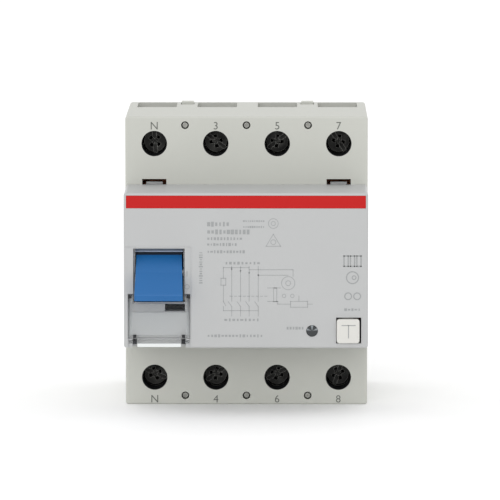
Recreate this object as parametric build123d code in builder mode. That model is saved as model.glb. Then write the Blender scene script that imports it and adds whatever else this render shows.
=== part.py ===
from build123d import *

import os
from math import cos, radians, sin

# Four-pole residual current device for a 35 mm mounting rail, built as separate pieces.
#
# Frame: +X to the right, +Y backwards, +Z up, as the device hangs on its rail. The origin is the middle of
# the face that rests on the rail. Depths are counted forwards from that face, so a depth d lies at y = -d.
# All sizes are in millimetres.

# ---- overall sizes -------------------------------------------------------------------------------------
poles = 4
pole_pitch = 18.0
side_relief = 0.5  # the housing keeps this far inside its outermost poles on each side
body_height = 85.0
shoulder_depth = 44.0  # rail face to the terminal shoulders
cap_stand = 25.0  # front of the raised cap above the shoulders
cap_height = 45.0
rear_reach = 6.0  # how far the base reaches behind the rail face
part_line = 12.0  # depth of the joint between base and cover
wall = 2.0
web = 1.7  # wall between the terminal chambers and the mechanism space
corner_radius = 0.8
edge_radius = 0.5
gap = 0.3  # between parts that move past each other
slip = 0.05  # radial clearance of a pin in its hole
seat = 0.1  # between parts that lie against each other

body_width = poles * pole_pitch - 2 * side_relief
cap_depth = shoulder_depth + cap_stand
pole_x = [(i - (poles - 1) / 2) * pole_pitch for i in range(poles)]
between_x = [x + pole_pitch / 2 for x in pole_x[:-1]]

# ---- mounting rail and its latches ---------------------------------------------------------------------
rail_height = 35.0
rail_sheet = 1.4  # room for the rail's sheet, in depth
rail_play_top = 1.5
rail_play_bottom = 0.5
rail_grip = 1.3  # how far a hook reaches over the rail's edge
latch_columns = (between_x[0], between_x[-1])
latch_stem_width = 3.7
latch_stem_depth = 3.0
latch_foot_width = 12.0
latch_foot_height = 3.8
latch_travel = 3.2
latch_stand = 0.6  # how far the pull tab stands above the housing
blade_notch_depth = 4.2  # room in front of the tab for a screwdriver blade

# ---- terminals -----------------------------------------------------------------------------------------
screw_inset = 8.0  # screw axis to the top or bottom edge of the housing
chamber_width = 11.8
mouth_radius = 1.2
well_radius = 3.75
well_wall = 1.4
ledge_depth = 30.4  # rear face of the ledge that carries the screw head
ledge_thickness = 1.5
head_radius = 3.5
head_height = 3.5
shank_radius = 2.95
drive_slot_width = 1.1
drive_slot_length = 5.0
drive_slot_depth = 1.8
cage_wall = 1.0
cage_back = 1.3
cage_block = 4.0  # thickness of the threaded block
cage_block_depth = 14.2  # rear face of the threaded block with the terminal open
tongue_width = 8.4
tongue_thickness = 2.0
tongue_front = 12.8
tongue_end_gap = 1.4  # tongue end to the chamber's outer wall

screw_z = body_height / 2 - screw_inset
chamber_half = chamber_width / 2
chamber_inner_z = screw_z - chamber_half
chamber_outer_z = screw_z + chamber_half
chamber_back = rear_reach - wall  # how far the chamber reaches behind the rail face
space_half_height = chamber_inner_z - web
space_half_width = body_width / 2 - wall
ledge_front = ledge_depth + ledge_thickness
tongue_back = tongue_front - tongue_thickness
cage_half_width = chamber_half - gap
cage_half_height = chamber_half - 0.5
cage_travel = ledge_depth - gap - cage_block_depth - cage_block

# ---- pins that hold the housing together ---------------------------------------------------------------
pin_radius = 0.95
pin_hole_radius = 1.15
pin_inset = 2.6  # pin axis to the top or bottom edge of the housing
pin_sink = 0.8  # how deep the pin's head lies below the shoulder
pin_end_depth = 5.0
pin_z = body_height / 2 - pin_inset

# ---- cap -----------------------------------------------------------------------------------------------
cap_inset = 0.25  # the cap is this much narrower than the housing on each side
cap_wall = 1.8
cap_front_wall = 2.0
cap_half_width = body_width / 2 - cap_inset
cap_half_height = cap_height / 2
cap_space_x = cap_half_width - cap_wall
cap_space_z = cap_half_height - cap_wall
cap_space_depth = cap_depth - cap_front_wall
hook_width = 4.8
hook_thickness = 1.25
hook_slot_width = 7.1
hook_slot_height = 1.6
hook_barb = 0.6
hook_head = 1.0  # depth of the barb
step_height = 0.25  # the face round the toggle lies this much lower than the rest
step_x = -15.7
step_z = 7.0
stripe_thickness = 0.5
stripe_height = 3.65
stripe_drop = 0.75  # stripe to the cap's top edge
stripe_end = 0.7  # stripe to the cap's side edges

# ---- toggle and contacts -------------------------------------------------------------------------------
toggle_inset = 10.4  # middle of the toggle to the left side of the housing
toggle_z = -1.5
toggle_width = 13.9
toggle_tilt = 22.0  # lever axis below the horizontal in the off position, and above it when on
barrel_radius = 7.6
barrel_drop = 1.2  # top of the barrel below the cap's face
lever_reach = 15.6  # pivot to the lever's tip
lever_root = (1.9, 7.9)  # top edge of the lever's face: along it from the pivot, and from its middle
lever_crease = (8.2, 4.4)  # where the face bends, measured in the same way
lever_tip = 1.0  # half the thickness of the tip
lever_flare = 0.9  # the lever is this much narrower where it leaves the barrel
opening_side_gap = 0.5
opening_half_height = barrel_radius + gap
axle_radius = 1.5
crank_radius = 4.6
crank_pin_radius = 0.8
crank_pin_length = 10.0
rod_width = 2.8
rod_slot_gap = 0.25
rod_end_radius = 1.2
eye_wall = 0.6  # rod round its eye
axle_wall = 0.6  # toggle between its bore and the rod's slot
frame_sheet = 1.0
frame_margin = 1.5  # frame's plates above and below the barrel
frame_side_gap = 0.5
spring_leg = 9.0
spring_arc = 320
contact_gap = 0.05  # left between closed contacts in this rigid model
tip_radius = 2.4
tip_thickness = 1.0
contact_span = 14.0  # between the two contact tips of a pole
bar_overlap = 3.0  # bar beyond its contact tip
bridge_width = 6.0
bridge_thickness = 1.6
bridge_overlap = 2.8
carrier_height = 6.0
carrier_depth = 7.7
spring_pocket_radius = 2.5
spring_pocket_depth = 4.7
spring_radius = 1.9
spring_wire = 0.25  # radius of the spring wire
spring_turns = 4
cheek_thickness = 1.2
cheek_reach = 3.0

toggle_x = -body_width / 2 + toggle_inset
toggle_depth = cap_depth - barrel_drop - barrel_radius
crank_z = toggle_z + crank_radius * cos(radians(toggle_tilt))
crank_depth = toggle_depth + crank_radius * sin(radians(toggle_tilt))
crank_rise = crank_radius * (1 - cos(radians(toggle_tilt)))  # the pin is highest half way
eye_radius = crank_pin_radius + slip
rod_low = crank_z - slip - eye_radius - eye_wall
rod_high = crank_z + crank_rise + slip + eye_radius + eye_wall
rod_front = crank_depth + eye_radius + eye_wall
lever_waist = toggle_width - lever_flare
contact_travel = 2 * crank_radius * sin(radians(toggle_tilt))
tip_front = tongue_front + tip_thickness
bridge_tip_back = tip_front + contact_gap + contact_travel
bridge_back = bridge_tip_back + tip_thickness
bridge_front = bridge_back + bridge_thickness
carrier_back = bridge_front + seat
carrier_front = carrier_back + carrier_depth
line_tip_z = crank_z + contact_span / 2
load_tip_z = crank_z - contact_span / 2

# ---- position flag, label and flap ---------------------------------------------------------------------
window_width = 5.8
window_height = 2.1
window_drop = 0.5  # bar between the toggle's opening and the window
flag_thickness = 0.8
flag_margin = 0.6  # flag beyond the window on each side
flag_travel = window_width + 2 * flag_margin
flap_thickness = 1.2
card_thickness = 0.3
flap_side_margin = 1.6  # flap beyond the toggle's opening on each side
flap_arm_top = 2.6  # arms above the lower edge of the toggle's opening
flap_rest = 2.9  # lower edge of the flap's sheet above the cap's lower edge
flap_pin_radius = 0.6
flap_pin_length = 2.3
flap_pin_rise = 1.7  # pin's axis above the cap's lower edge
flap_pin_drop = 1.15  # pin's axis behind the face round the toggle
flap_pin_lip = 0.35  # bearing in front of the pin's axis
flap_lip = 0.2  # finger lip of the flap above the cap's lower edge
knuckle_radius = 0.95
knuckle_inset = 2.5  # knuckle to the flap's side edge
bearing_gap = 1.3  # open pocket between the knuckle and the bearing
card_end_gap = 0.6
recess_pad = 2.3  # cap wall behind the flap's recess
pad_margin = 1.0  # that wall beyond the recess
flag_rib = 1.0

opening_low = toggle_z - opening_half_height
opening_high = toggle_z + opening_half_height
opening_half_width = toggle_width / 2 + opening_side_gap
window_high = opening_low - window_drop
window_low = window_high - window_height
window_right = toggle_x + opening_half_width
window_left = window_right - window_width
recess_half_width = opening_half_width + flap_side_margin
flap_half_width = recess_half_width - gap / 2
flap_front = cap_depth - step_height
flap_back = flap_front - flap_thickness
recess_depth = flap_back - card_thickness - 2 * seat
recess_high = opening_low + flap_arm_top
pad_back = recess_depth - recess_pad
flag_front = pad_back - seat
flap_low = -cap_half_height + flap_rest
flap_pin_z = -cap_half_height + flap_pin_rise
flap_pin_depth = flap_front - flap_pin_drop
knuckle_half = flap_half_width - knuckle_inset
pocket_half = knuckle_half + bearing_gap
lip_low = -cap_half_height + flap_lip
lip_swing = flap_pin_z - lip_low + flap_pin_drop / 2
flag_x = (window_left - flag_margin - flag_travel, window_right + flag_margin)
flag_z = (window_low - flag_margin, window_high + window_drop / 2)

# ---- test button, status light and electronics ---------------------------------------------------------
button_x = body_width / 2 - 6.0
button_z = -cap_half_height + 5.0
button_width = 6.6
button_height = 7.0
button_gap_left = 0.15
button_gap_right = 0.5
button_gap_top = 0.4
button_gap_bottom = 0.15
button_stand = 1.0
button_travel = 1.5
button_body = 8.0
button_flange = 1.2
button_flange_reach = 1.0
button_stop_width = 3.4
leaf_width = 3.0
leaf_thickness = 0.3
light_x = button_x - 10.4
light_radius = 1.65
light_stand = 0.25
board_thickness = 1.6
board_front = cap_depth - 12.5
board_left = toggle_x + opening_half_width + 5.5
board_margin = 1.0
post_radius = 2.0
peg_radius = 0.9
peg_stand = 1.0
board_posts = ((board_left + 4, 16.0), (cap_space_x - 5, 16.0), (board_left + 12, -16.0))
capacitor_x = (board_left + 8, board_left + 16)
capacitor_z = 9.0
capacitor_radius = 3.0
capacitor_length = 7.5
chip_place = (board_left + 25, 3.0)
chip_size = (8.0, 5.2)
chip_thickness = 1.8
resistor_x = (board_left + 11, board_left + 20)
resistor_z = -11.0
resistor_radius = 1.5
diode_x = (board_left + 29, board_left + 33.5, board_left + 38)
diode_z = 12.0
diode_size = (2.8, 6.4)
diode_thickness = 2.2

# ---- current transformer and relay ---------------------------------------------------------------------
core_outer = 17.5
core_inner = 11.0
core_height = 10.5
core_mid_depth = 24.2
winding_reach = 0.9  # winding around the core
bar_side = 4.0  # side of a square conductor
bar_leg = 2.5  # height of a leg that runs across
bar_spread_x = 5.0
bar_spread_depth = 4.5
core_lift = 4.4  # core above the wall of the terminal chambers
relay_width = 15.0
relay_height = 14.0
relay_length = 15.0
relay_x = 0.5
relay_low = 10.0
plunger_radius = 1.2
plunger_rise = 3.4  # plunger's axis above the relay's lower face
plunger_stand = 3.0
plunger_travel = 1.2
lever_thickness = 2.0
lever_arm = 4.5  # pivot to the plunger's line
lever_half = 1.2  # half the width of the lever's arms
lever_hub = 2.4
lever_pin_radius = 1.0
wire_radius = 0.55
wire_bend = 3.0
wire_z = -4.0
wire_x = (2.0, 4.5)

stripe_z = cap_half_height - stripe_drop - stripe_height / 2
button_back = cap_depth + button_stand - button_body
core_low = -space_half_height + core_lift
wire_depth = core_mid_depth + (core_outer + core_inner) / 2
core_high = core_low + core_height
lower_leg = (-space_half_height + 0.5, -space_half_height + 0.5 + bar_leg)
upper_leg = (core_high + 1.4, core_high + 1.4 + bar_leg)
relay_front = shoulder_depth - wall - seat
relay_left = relay_x - relay_width / 2
plunger_z = relay_low + plunger_rise
plunger_depth = relay_front - relay_length / 2
lever_x = relay_left - plunger_stand - lever_hub - gap - seat
lever_z = plunger_z + lever_arm
relay_wire_z = relay_low + relay_height / 2


def block(x, z, depth, mode=Mode.ADD):
    """A rectangular block between pairs of limits, its depth counted forwards from the rail face."""
    with Locations(((x[0] + x[1]) / 2, -(depth[0] + depth[1]) / 2, (z[0] + z[1]) / 2)):
        Box(x[1] - x[0], depth[1] - depth[0], z[1] - z[0], mode=mode)


def rod_y(x, z, radius, depth, mode=Mode.ADD):
    """A round bar along Y between two depths."""
    with Locations((x, -(depth[0] + depth[1]) / 2, z)):
        Cylinder(radius, depth[1] - depth[0], rotation=(90, 0, 0), mode=mode)


def rod_x(z, depth, radius, x, mode=Mode.ADD):
    """A round bar along X between two places."""
    with Locations(((x[0] + x[1]) / 2, -depth, z)):
        Cylinder(radius, x[1] - x[0], rotation=(0, 90, 0), mode=mode)


def around(middle, half):
    """The pair of limits that lie half on each side of a middle."""
    return (middle - half, middle + half)


def outward(z_inner, z_outer, side):
    """A pair of limits in Z on the upper side (1) or the lower side (-1)."""
    return tuple(sorted((side * z_inner, side * z_outer)))


def write(piece, name):
    """Labels a finished piece and writes it as its own STEP file."""
    piece.label = name
    export_step(piece, f"parts/{name}.step")


# ---- housing -------------------------------------------------------------------------------------------


def make_housing_base():
    """Rear shell: the rail channel, the rear half of the terminal chambers and the latch guides."""
    rail_top = rail_height / 2 + rail_play_top
    rail_bottom = -rail_height / 2 - rail_play_bottom
    pocket_top = rail_height / 2 - rail_grip + latch_foot_height + latch_travel + gap
    with BuildPart() as housing_base:
        with BuildSketch(Plane.XZ.offset(part_line)):
            RectangleRounded(body_width, body_height, corner_radius)
        extrude(amount=-(part_line + rear_reach))
        rear_edges = housing_base.faces().sort_by(Axis.Y)[-1].edges()
        fillet(rear_edges, edge_radius)
        # mechanism space, and the channel behind it that takes the rail
        block(around(0, space_half_width), around(0, space_half_height), (wall, part_line), Mode.SUBTRACT)
        block(around(0, body_width), (rail_bottom, rail_top), (-rear_reach, 0), Mode.SUBTRACT)
        for side in (1, -1):
            for x in pole_x:
                # terminal chamber, its mouth for the wire, and the slot that the tongue passes through
                chamber = around(x, chamber_half)
                block(
                    chamber,
                    outward(chamber_inner_z, chamber_outer_z, side),
                    (-chamber_back, part_line),
                    Mode.SUBTRACT,
                )
                with BuildSketch(Plane.XY.offset(side * (body_height / 2 - screw_inset / 2))):
                    with Locations((x, (chamber_back - part_line) / 2 - mouth_radius / 2)):
                        RectangleRounded(
                            chamber_width, chamber_back + part_line + mouth_radius, mouth_radius
                        )
                extrude(amount=side * screw_inset, mode=Mode.SUBTRACT)
                block(
                    around(x, tongue_width / 2 + gap),
                    outward(space_half_height - web, chamber_inner_z + web, side),
                    (tongue_back - gap, part_line),
                    Mode.SUBTRACT,
                )
            for x in between_x:
                rod_y(x, side * pin_z, pin_hole_radius, (pin_end_depth - seat, part_line), Mode.SUBTRACT)
        # cored pockets in the thick stretch below the rail
        for x in pole_x:
            block(
                around(x, chamber_half),
                (-space_half_height, rail_bottom - wall),
                (-rear_reach, -wall - gap),
                Mode.SUBTRACT,
            )
        for x in latch_columns:
            # fixed hook below the rail, and above it the pocket, guide and blade notch of a latch
            block(
                around(x, latch_foot_width / 2),
                (rail_bottom - wall, -rail_height / 2 + rail_grip),
                (-rear_reach + edge_radius, -rail_sheet),
            )
            block(
                around(x, latch_foot_width / 2 + gap),
                (rail_top - wall, pocket_top),
                (-rear_reach, -rail_sheet + seat),
                Mode.SUBTRACT,
            )
            block(
                around(x, latch_stem_width / 2 + gap / 2),
                (pocket_top - wall, body_height / 2 + wall),
                (-rail_sheet - latch_stem_depth - gap / 2, -rail_sheet + seat),
                Mode.SUBTRACT,
            )
            block(
                around(x, latch_stem_width / 2 + gap / 2),
                (chamber_outer_z, body_height / 2 + wall),
                (-rail_sheet, blade_notch_depth - rail_sheet),
                Mode.SUBTRACT,
            )
    write(housing_base.part, "housing_base")


def make_housing_cover():
    """Front shell with the two terminal shoulders, the screw wells and the opening under the cap."""
    with BuildPart() as housing_cover:
        with BuildSketch(Plane.XZ.offset(part_line)):
            RectangleRounded(body_width, body_height, corner_radius)
        extrude(amount=shoulder_depth - part_line)
        fillet(housing_cover.faces().sort_by(Axis.Y)[0].edges(), edge_radius)
        block(
            around(0, space_half_width),
            around(0, space_half_height),
            (part_line, shoulder_depth - wall),
            Mode.SUBTRACT,
        )
        # ways through the front wall for the drive rod and the wires to the circuit board
        through = (shoulder_depth - 2 * wall, shoulder_depth + wall)
        rod_width_open = around(toggle_x, rod_width / 2 + gap)
        block(rod_width_open, (rod_low - gap, rod_high + gap), through, Mode.SUBTRACT)
        for z in (wire_z, relay_wire_z):
            wires = (wire_x[0] - 2 * wire_radius, wire_x[1] + 2 * wire_radius)
            block(wires, around(z, 2 * wire_radius), through, Mode.SUBTRACT)
        for side in (1, -1):
            for x in pole_x:
                chamber = outward(chamber_inner_z, chamber_outer_z, side)
                block(around(x, chamber_half), chamber, (part_line, shoulder_depth - wall), Mode.SUBTRACT)
                block(
                    around(x, tongue_width / 2 + gap),
                    outward(space_half_height - web, chamber_inner_z + web, side),
                    (part_line, tongue_front + gap),
                    Mode.SUBTRACT,
                )
                # well for the screw, with the ledge that carries the screw's head
                rod_y(x, side * screw_z, well_radius + well_wall, (ledge_depth, shoulder_depth - edge_radius))
                rod_y(
                    x, side * screw_z, well_radius, (ledge_front, shoulder_depth + wall), Mode.SUBTRACT
                )
                rod_y(
                    x, side * screw_z, shank_radius + gap, (ledge_depth - wall, shoulder_depth), Mode.SUBTRACT
                )
            for x in between_x:
                rod_y(
                    x, side * pin_z, pin_hole_radius, (part_line, shoulder_depth + wall), Mode.SUBTRACT
                )
            for x in (pole_x[0], pole_x[-1]):
                block(
                    around(x, hook_slot_width / 2),
                    outward(
                        cap_half_height - hook_thickness - seat, cap_half_height + hook_slot_height, side
                    ),
                    (shoulder_depth - 2 * wall, shoulder_depth + wall),
                    Mode.SUBTRACT,
                )
    write(housing_cover.part, "housing_cover")


def make_housing_pins():
    """Six pins driven through the cover into the base, with round heads sunk below the shoulders."""
    with BuildPart() as housing_pins:
        for side in (1, -1):
            for x in between_x:
                rod_y(x, side * pin_z, pin_radius, (pin_end_depth, shoulder_depth - pin_sink))
        heads = housing_pins.faces().group_by(Axis.Y)[0]
        chamfer(heads.edges(), pin_radius / 4)
    write(housing_pins.part, "housing_pins")


def make_rail_latches():
    """Two sliding latches: a foot that grips the rail and a stem that ends in a pull tab."""
    foot_low = rail_height / 2 - rail_grip
    foot_high = foot_low + latch_foot_height
    for name, x in zip(("rail_latch_left", "rail_latch_right"), latch_columns):
        with BuildPart() as rail_latch:
            foot_depth = (-rail_sheet - latch_stem_depth, -rail_sheet)
            block(around(x, latch_foot_width / 2), (foot_low, foot_high), foot_depth)
            block(
                around(x, latch_stem_width / 2),
                (foot_high, body_height / 2 + latch_stand),
                foot_depth,
            )
            # sloped nose, so that the latch snaps over the rail
            nose = rail_latch.faces().sort_by(Axis.Z)[0].edges().sort_by(Axis.Y)[-1]
            chamfer(nose, latch_stem_depth / 2)
            tab_edges = rail_latch.faces().sort_by(Axis.Z)[-1].edges()
            fillet(tab_edges, edge_radius / 2)
        write(rail_latch.part, name)


# ---- terminals -----------------------------------------------------------------------------------------


def make_terminals():
    """A screw and a rising cage for each of the eight terminals."""
    head_back = ledge_front + seat
    head_front = head_back + head_height
    for row, side in (("top", 1), ("bottom", -1)):
        for i, x in enumerate(pole_x, start=1):
            z = side * screw_z
            with BuildPart() as screw:
                rod_y(x, z, head_radius, (head_back, head_front))
                chamfer(screw.faces().sort_by(Axis.Y)[0].edges(), head_radius / 10)
                rod_y(x, z, shank_radius, (tongue_front + slip, head_back))
                slot = (head_front - drive_slot_depth, head_front)
                block(around(x, drive_slot_length / 2), around(z, drive_slot_width / 2), slot, Mode.SUBTRACT)
                block(around(x, drive_slot_width / 2), around(z, drive_slot_length / 2), slot, Mode.SUBTRACT)
            write(screw.part, f"terminal_screw_{row}_{i}")

            cage_rear = -chamber_back + gap
            with BuildPart() as cage:
                block(
                    around(x, cage_half_width),
                    around(z, cage_half_height),
                    (cage_rear, cage_block_depth + cage_block),
                )
                fillet(cage.edges().filter_by(Axis.Z), cage_wall / 2)
                block(
                    around(x, cage_half_width - cage_wall),
                    around(z, chamber_half),
                    (cage_rear + cage_back, cage_block_depth),
                    Mode.SUBTRACT,
                )
                rod_y(x, z, shank_radius + slip, (cage_block_depth - wall, shoulder_depth), Mode.SUBTRACT)
            write(cage.part, f"terminal_cage_{row}_{i}")


# ---- conductors and contacts ---------------------------------------------------------------------------


def make_line_bars():
    """Straight copper bars from the upper terminals down to the fixed contacts."""
    for i, x in enumerate(pole_x, start=1):
        with BuildPart() as line_bar:
            low = line_tip_z - bar_overlap
            z = (low, chamber_outer_z - tongue_end_gap)
            block(around(x, tongue_width / 2), z, (tongue_back, tongue_front))
            fillet(line_bar.edges().filter_by(Axis.Y), corner_radius)
        write(line_bar.part, f"line_bar_{i}")


def make_load_bars():
    """Copper bars from the lower fixed contacts through the transformer to the lower terminals."""
    for i, x in enumerate(pole_x, start=1):
        outer_pole = i in (1, poles)
        hole_x = bar_spread_x if x > 0 else -bar_spread_x
        hole_depth = core_mid_depth + (bar_spread_depth if outer_pole else -bar_spread_depth)
        half = bar_side / 2
        reach = (tongue_back, hole_depth + half)
        across = (min(x, hole_x) - half, max(x, hole_x) + half)
        with BuildPart() as load_bar:
            # contact pad, then forwards, across, down through the core, across and back to the tongue
            pad = (upper_leg[0], load_tip_z + bar_overlap)
            block(around(x, tongue_width / 2), pad, (tongue_back, tongue_front))
            for leg in (upper_leg, lower_leg):
                block(around(x, half), leg, reach)
                block(across, leg, around(hole_depth, half))
            block(around(hole_x, half), (lower_leg[0], upper_leg[1]), around(hole_depth, half))
            tongue = (-chamber_outer_z + tongue_end_gap, lower_leg[1])
            block(around(x, tongue_width / 2), tongue, (tongue_back, tongue_front))
        write(load_bar.part, f"load_bar_{i}")


def make_contact_tips():
    """Silver tips: two on the fixed bars and two on the moving bridge of every pole."""
    with BuildPart() as fixed_contact_tips:
        for x in pole_x:
            for z in (line_tip_z, load_tip_z):
                rod_y(x, z, tip_radius, (tongue_front, tip_front))
        fronts = fixed_contact_tips.faces().group_by(Axis.Y)[0]
        fillet(fronts.edges(), tip_thickness / 3)
    write(fixed_contact_tips.part, "fixed_contact_tips")

    with BuildPart() as moving_contact_tips:
        for x in pole_x:
            for z in (line_tip_z, load_tip_z):
                rod_y(x, z, tip_radius, (bridge_tip_back, bridge_back))
        backs = moving_contact_tips.faces().group_by(Axis.Y)[-1]
        fillet(backs.edges(), tip_thickness / 3)
    write(moving_contact_tips.part, "moving_contact_tips")


def make_contact_bridges():
    """One moving bridge per pole, which joins the two fixed contacts when the device is on."""
    for i, x in enumerate(pole_x, start=1):
        with BuildPart() as contact_bridge:
            z = (load_tip_z - bridge_overlap, line_tip_z + bridge_overlap)
            block(around(x, bridge_width / 2), z, (bridge_back, bridge_front))
            fillet(contact_bridge.edges().filter_by(Axis.Y), corner_radius)
        write(contact_bridge.part, f"contact_bridge_{i}")


def make_contact_carrier():
    """Plastic bar that carries the bridges: a spring pocket and two guide cheeks for every pole."""
    with BuildPart() as contact_carrier:
        z = around(crank_z, carrier_height / 2)
        half = pole_x[-1] + bridge_width / 2 + seat + cheek_thickness
        block(around(0, half), z, (carrier_back, carrier_front))
        fillet(contact_carrier.edges().filter_by(Axis.X), edge_radius)
        for x in pole_x:
            pocket = (carrier_back, carrier_back + spring_pocket_depth)
            rod_y(x, crank_z, spring_pocket_radius, pocket, Mode.SUBTRACT)
            for side in (1, -1):
                inner = bridge_width / 2 + seat
                cheek = sorted((x + side * inner, x + side * (inner + cheek_thickness)))
                block(cheek, around(crank_z, carrier_height / 3), (carrier_back - cheek_reach, carrier_back))
    write(contact_carrier.part, "contact_carrier")


def spring_along_y(x, z, radius, wire, depth, turns):
    """A compression spring along Y: one wire swept along a helix, between two depths."""
    length = depth[1] - depth[0] - 2 * wire
    start = (x, -(depth[0] + wire), z)
    coil = Helix(length / turns, length, radius, center=start, direction=(0, -1, 0), mode=Mode.PRIVATE)
    with BuildSketch(Plane(origin=coil @ 0, z_dir=coil % 0)) as wire_section:
        Circle(wire)
    sweep(sections=wire_section.sketch, path=coil)


def make_contact_springs():
    """A spring behind every bridge, which presses it on the fixed contacts."""
    with BuildPart() as contact_springs:
        for x in pole_x:
            depth = (bridge_front + slip, carrier_back + spring_pocket_depth - slip)
            spring_along_y(x, crank_z, spring_radius, spring_wire, depth, spring_turns)
    write(contact_springs.part, "contact_springs")


# ---- toggle and mechanism ------------------------------------------------------------------------------


def rod_swing(height, reach):
    """How far forwards, as the turned toggle sees it, a point of the drive rod ends up."""
    turn = radians(2 * toggle_tilt)
    return (reach - contact_travel) * cos(turn) + height * sin(turn)


def make_toggle():
    """Wedge-shaped lever on a round barrel, in the off position, with its bore and the rod's slot."""
    pivot = (toggle_x, -toggle_depth, toggle_z)
    along = (0, -cos(radians(toggle_tilt)), -sin(radians(toggle_tilt)))
    across = (0, -sin(radians(toggle_tilt)), cos(radians(toggle_tilt)))
    with BuildPart() as toggle:
        with BuildSketch(Plane(origin=pivot, x_dir=along, z_dir=(1, 0, 0))):
            Circle(barrel_radius)
            with BuildLine():
                Polyline(
                    lever_root,
                    lever_crease,
                    (lever_reach, lever_tip),
                    (lever_reach, -lever_tip),
                    (lever_crease[0], -lever_crease[1]),
                    (lever_root[0], -lever_root[1]),
                    close=True,
                )
            make_face()
        extrude(amount=toggle_width / 2, both=True)
        # the lever widens from its waist to its tip
        with BuildSketch(Plane(origin=pivot, x_dir=along, z_dir=across)):
            with BuildLine():
                waist = lever_waist / 2
                Polyline(
                    (-2 * barrel_radius, waist),
                    (lever_root[0], waist),
                    (lever_reach, toggle_width / 2),
                    (lever_reach, -toggle_width / 2),
                    (lever_root[0], -waist),
                    (-2 * barrel_radius, -waist),
                    close=True,
                )
            make_face()
        extrude(amount=2 * barrel_radius, both=True, mode=Mode.INTERSECT)
        tip_edges = toggle.edges().filter_by(Axis.X).group_by(Axis.Y)
        fillet(tip_edges[0] + tip_edges[1], lever_tip * 0.4)
        rod_x(toggle_z, toggle_depth, axle_radius + slip, around(toggle_x, toggle_width), Mode.SUBTRACT)
        pin_hole = around(toggle_x, crank_pin_length / 2 + slip)
        rod_x(crank_z, crank_depth, crank_pin_radius + slip, pin_hole, Mode.SUBTRACT)
        # slot for the drive rod: open to the rear, with a round front where the rod's end swings
        slot_x = around(toggle_x, rod_width / 2 + rod_slot_gap)
        slot_low = toggle_z + axle_radius + axle_wall
        end_z = rod_high - rod_end_radius
        end_half = rod_end_radius + rod_slot_gap
        end_depth = toggle_depth + rod_swing(end_z - toggle_z, rod_front - rod_end_radius - toggle_depth)
        behind = toggle_depth - 2 * barrel_radius
        block(slot_x, (slot_low, toggle_z + 2 * barrel_radius), (behind, end_depth), Mode.SUBTRACT)
        block(slot_x, (slot_low, end_z), (behind, end_depth + end_half), Mode.SUBTRACT)
        rod_x(end_z, end_depth, end_half, slot_x, Mode.SUBTRACT)
    write(toggle.part, "toggle")

    with BuildPart() as crank_pin:
        rod_x(crank_z, crank_depth, crank_pin_radius, around(toggle_x, crank_pin_length / 2))
    write(crank_pin.part, "crank_pin")

    with BuildPart() as toggle_axle:
        half = lever_waist / 2 + frame_side_gap + frame_sheet
        rod_x(toggle_z, toggle_depth, axle_radius, around(toggle_x, half))
    write(toggle_axle.part, "toggle_axle")


def make_mechanism_frame():
    """Steel frame: two side plates that hold the toggle's axle, tied by a plate on the cover's face."""
    inner = lever_waist / 2 + frame_side_gap
    outer = inner + frame_sheet
    top = toggle_z + barrel_radius + frame_margin
    bottom = toggle_z - barrel_radius - frame_margin
    tie = (shoulder_depth + slip, shoulder_depth + slip + frame_sheet)
    with BuildPart() as mechanism_frame:
        for side in (1, -1):
            plate = sorted((toggle_x + side * inner, toggle_x + side * outer))
            block(plate, (bottom, top), (tie[0], toggle_depth + axle_radius * 2))
        block(around(toggle_x, outer), (bottom, top), tie)
        rod_x(toggle_z, toggle_depth, axle_radius + slip / 2, around(toggle_x, 2 * outer), Mode.SUBTRACT)
        window = (rod_low - gap, rod_high + gap)
        through = (tie[0] - frame_sheet, tie[1] + frame_sheet)
        block(around(toggle_x, rod_width / 2 + gap), window, through, Mode.SUBTRACT)
        plate_corners = mechanism_frame.edges().filter_by(Axis.X).group_by(Axis.Y)[0]
        fillet(plate_corners, axle_radius)
    write(mechanism_frame.part, "mechanism_frame")


def make_drive_rod():
    """Rod from the toggle's crank pin to the contact carrier, with a long eye for the pin's rise."""
    with BuildPart() as drive_rod:
        block(around(toggle_x, rod_width / 2), (rod_low, rod_high), (carrier_front, rod_front))
        fillet(drive_rod.edges().filter_by(Axis.X).group_by(Axis.Y)[0], rod_end_radius)
        eye_z = (crank_z - slip, crank_z + crank_rise + slip)
        for z in eye_z:
            rod_x(z, crank_depth, eye_radius, around(toggle_x, rod_width), Mode.SUBTRACT)
        block(around(toggle_x, rod_width), eye_z, around(crank_depth, eye_radius), Mode.SUBTRACT)
    write(drive_rod.part, "drive_rod")


def make_toggle_spring():
    """Return spring round the toggle's axle, beside the barrel, with a straight leg behind it."""
    wire = frame_side_gap / 2 - slip
    radius = axle_radius + 2 * wire
    x = toggle_x - lever_waist / 2 - frame_side_gap / 2
    with BuildPart() as toggle_spring:
        with BuildLine(Plane.YZ.offset(x)) as route:
            top = toggle_z + radius
            Line((-toggle_depth + spring_leg, top), (-toggle_depth, top))
            CenterArc((-toggle_depth, toggle_z), radius, 90, spring_arc)
        with BuildSketch(Plane(origin=route.line @ 0, z_dir=route.line % 0)):
            Circle(wire)
        sweep()
    write(toggle_spring.part, "toggle_spring")


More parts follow.
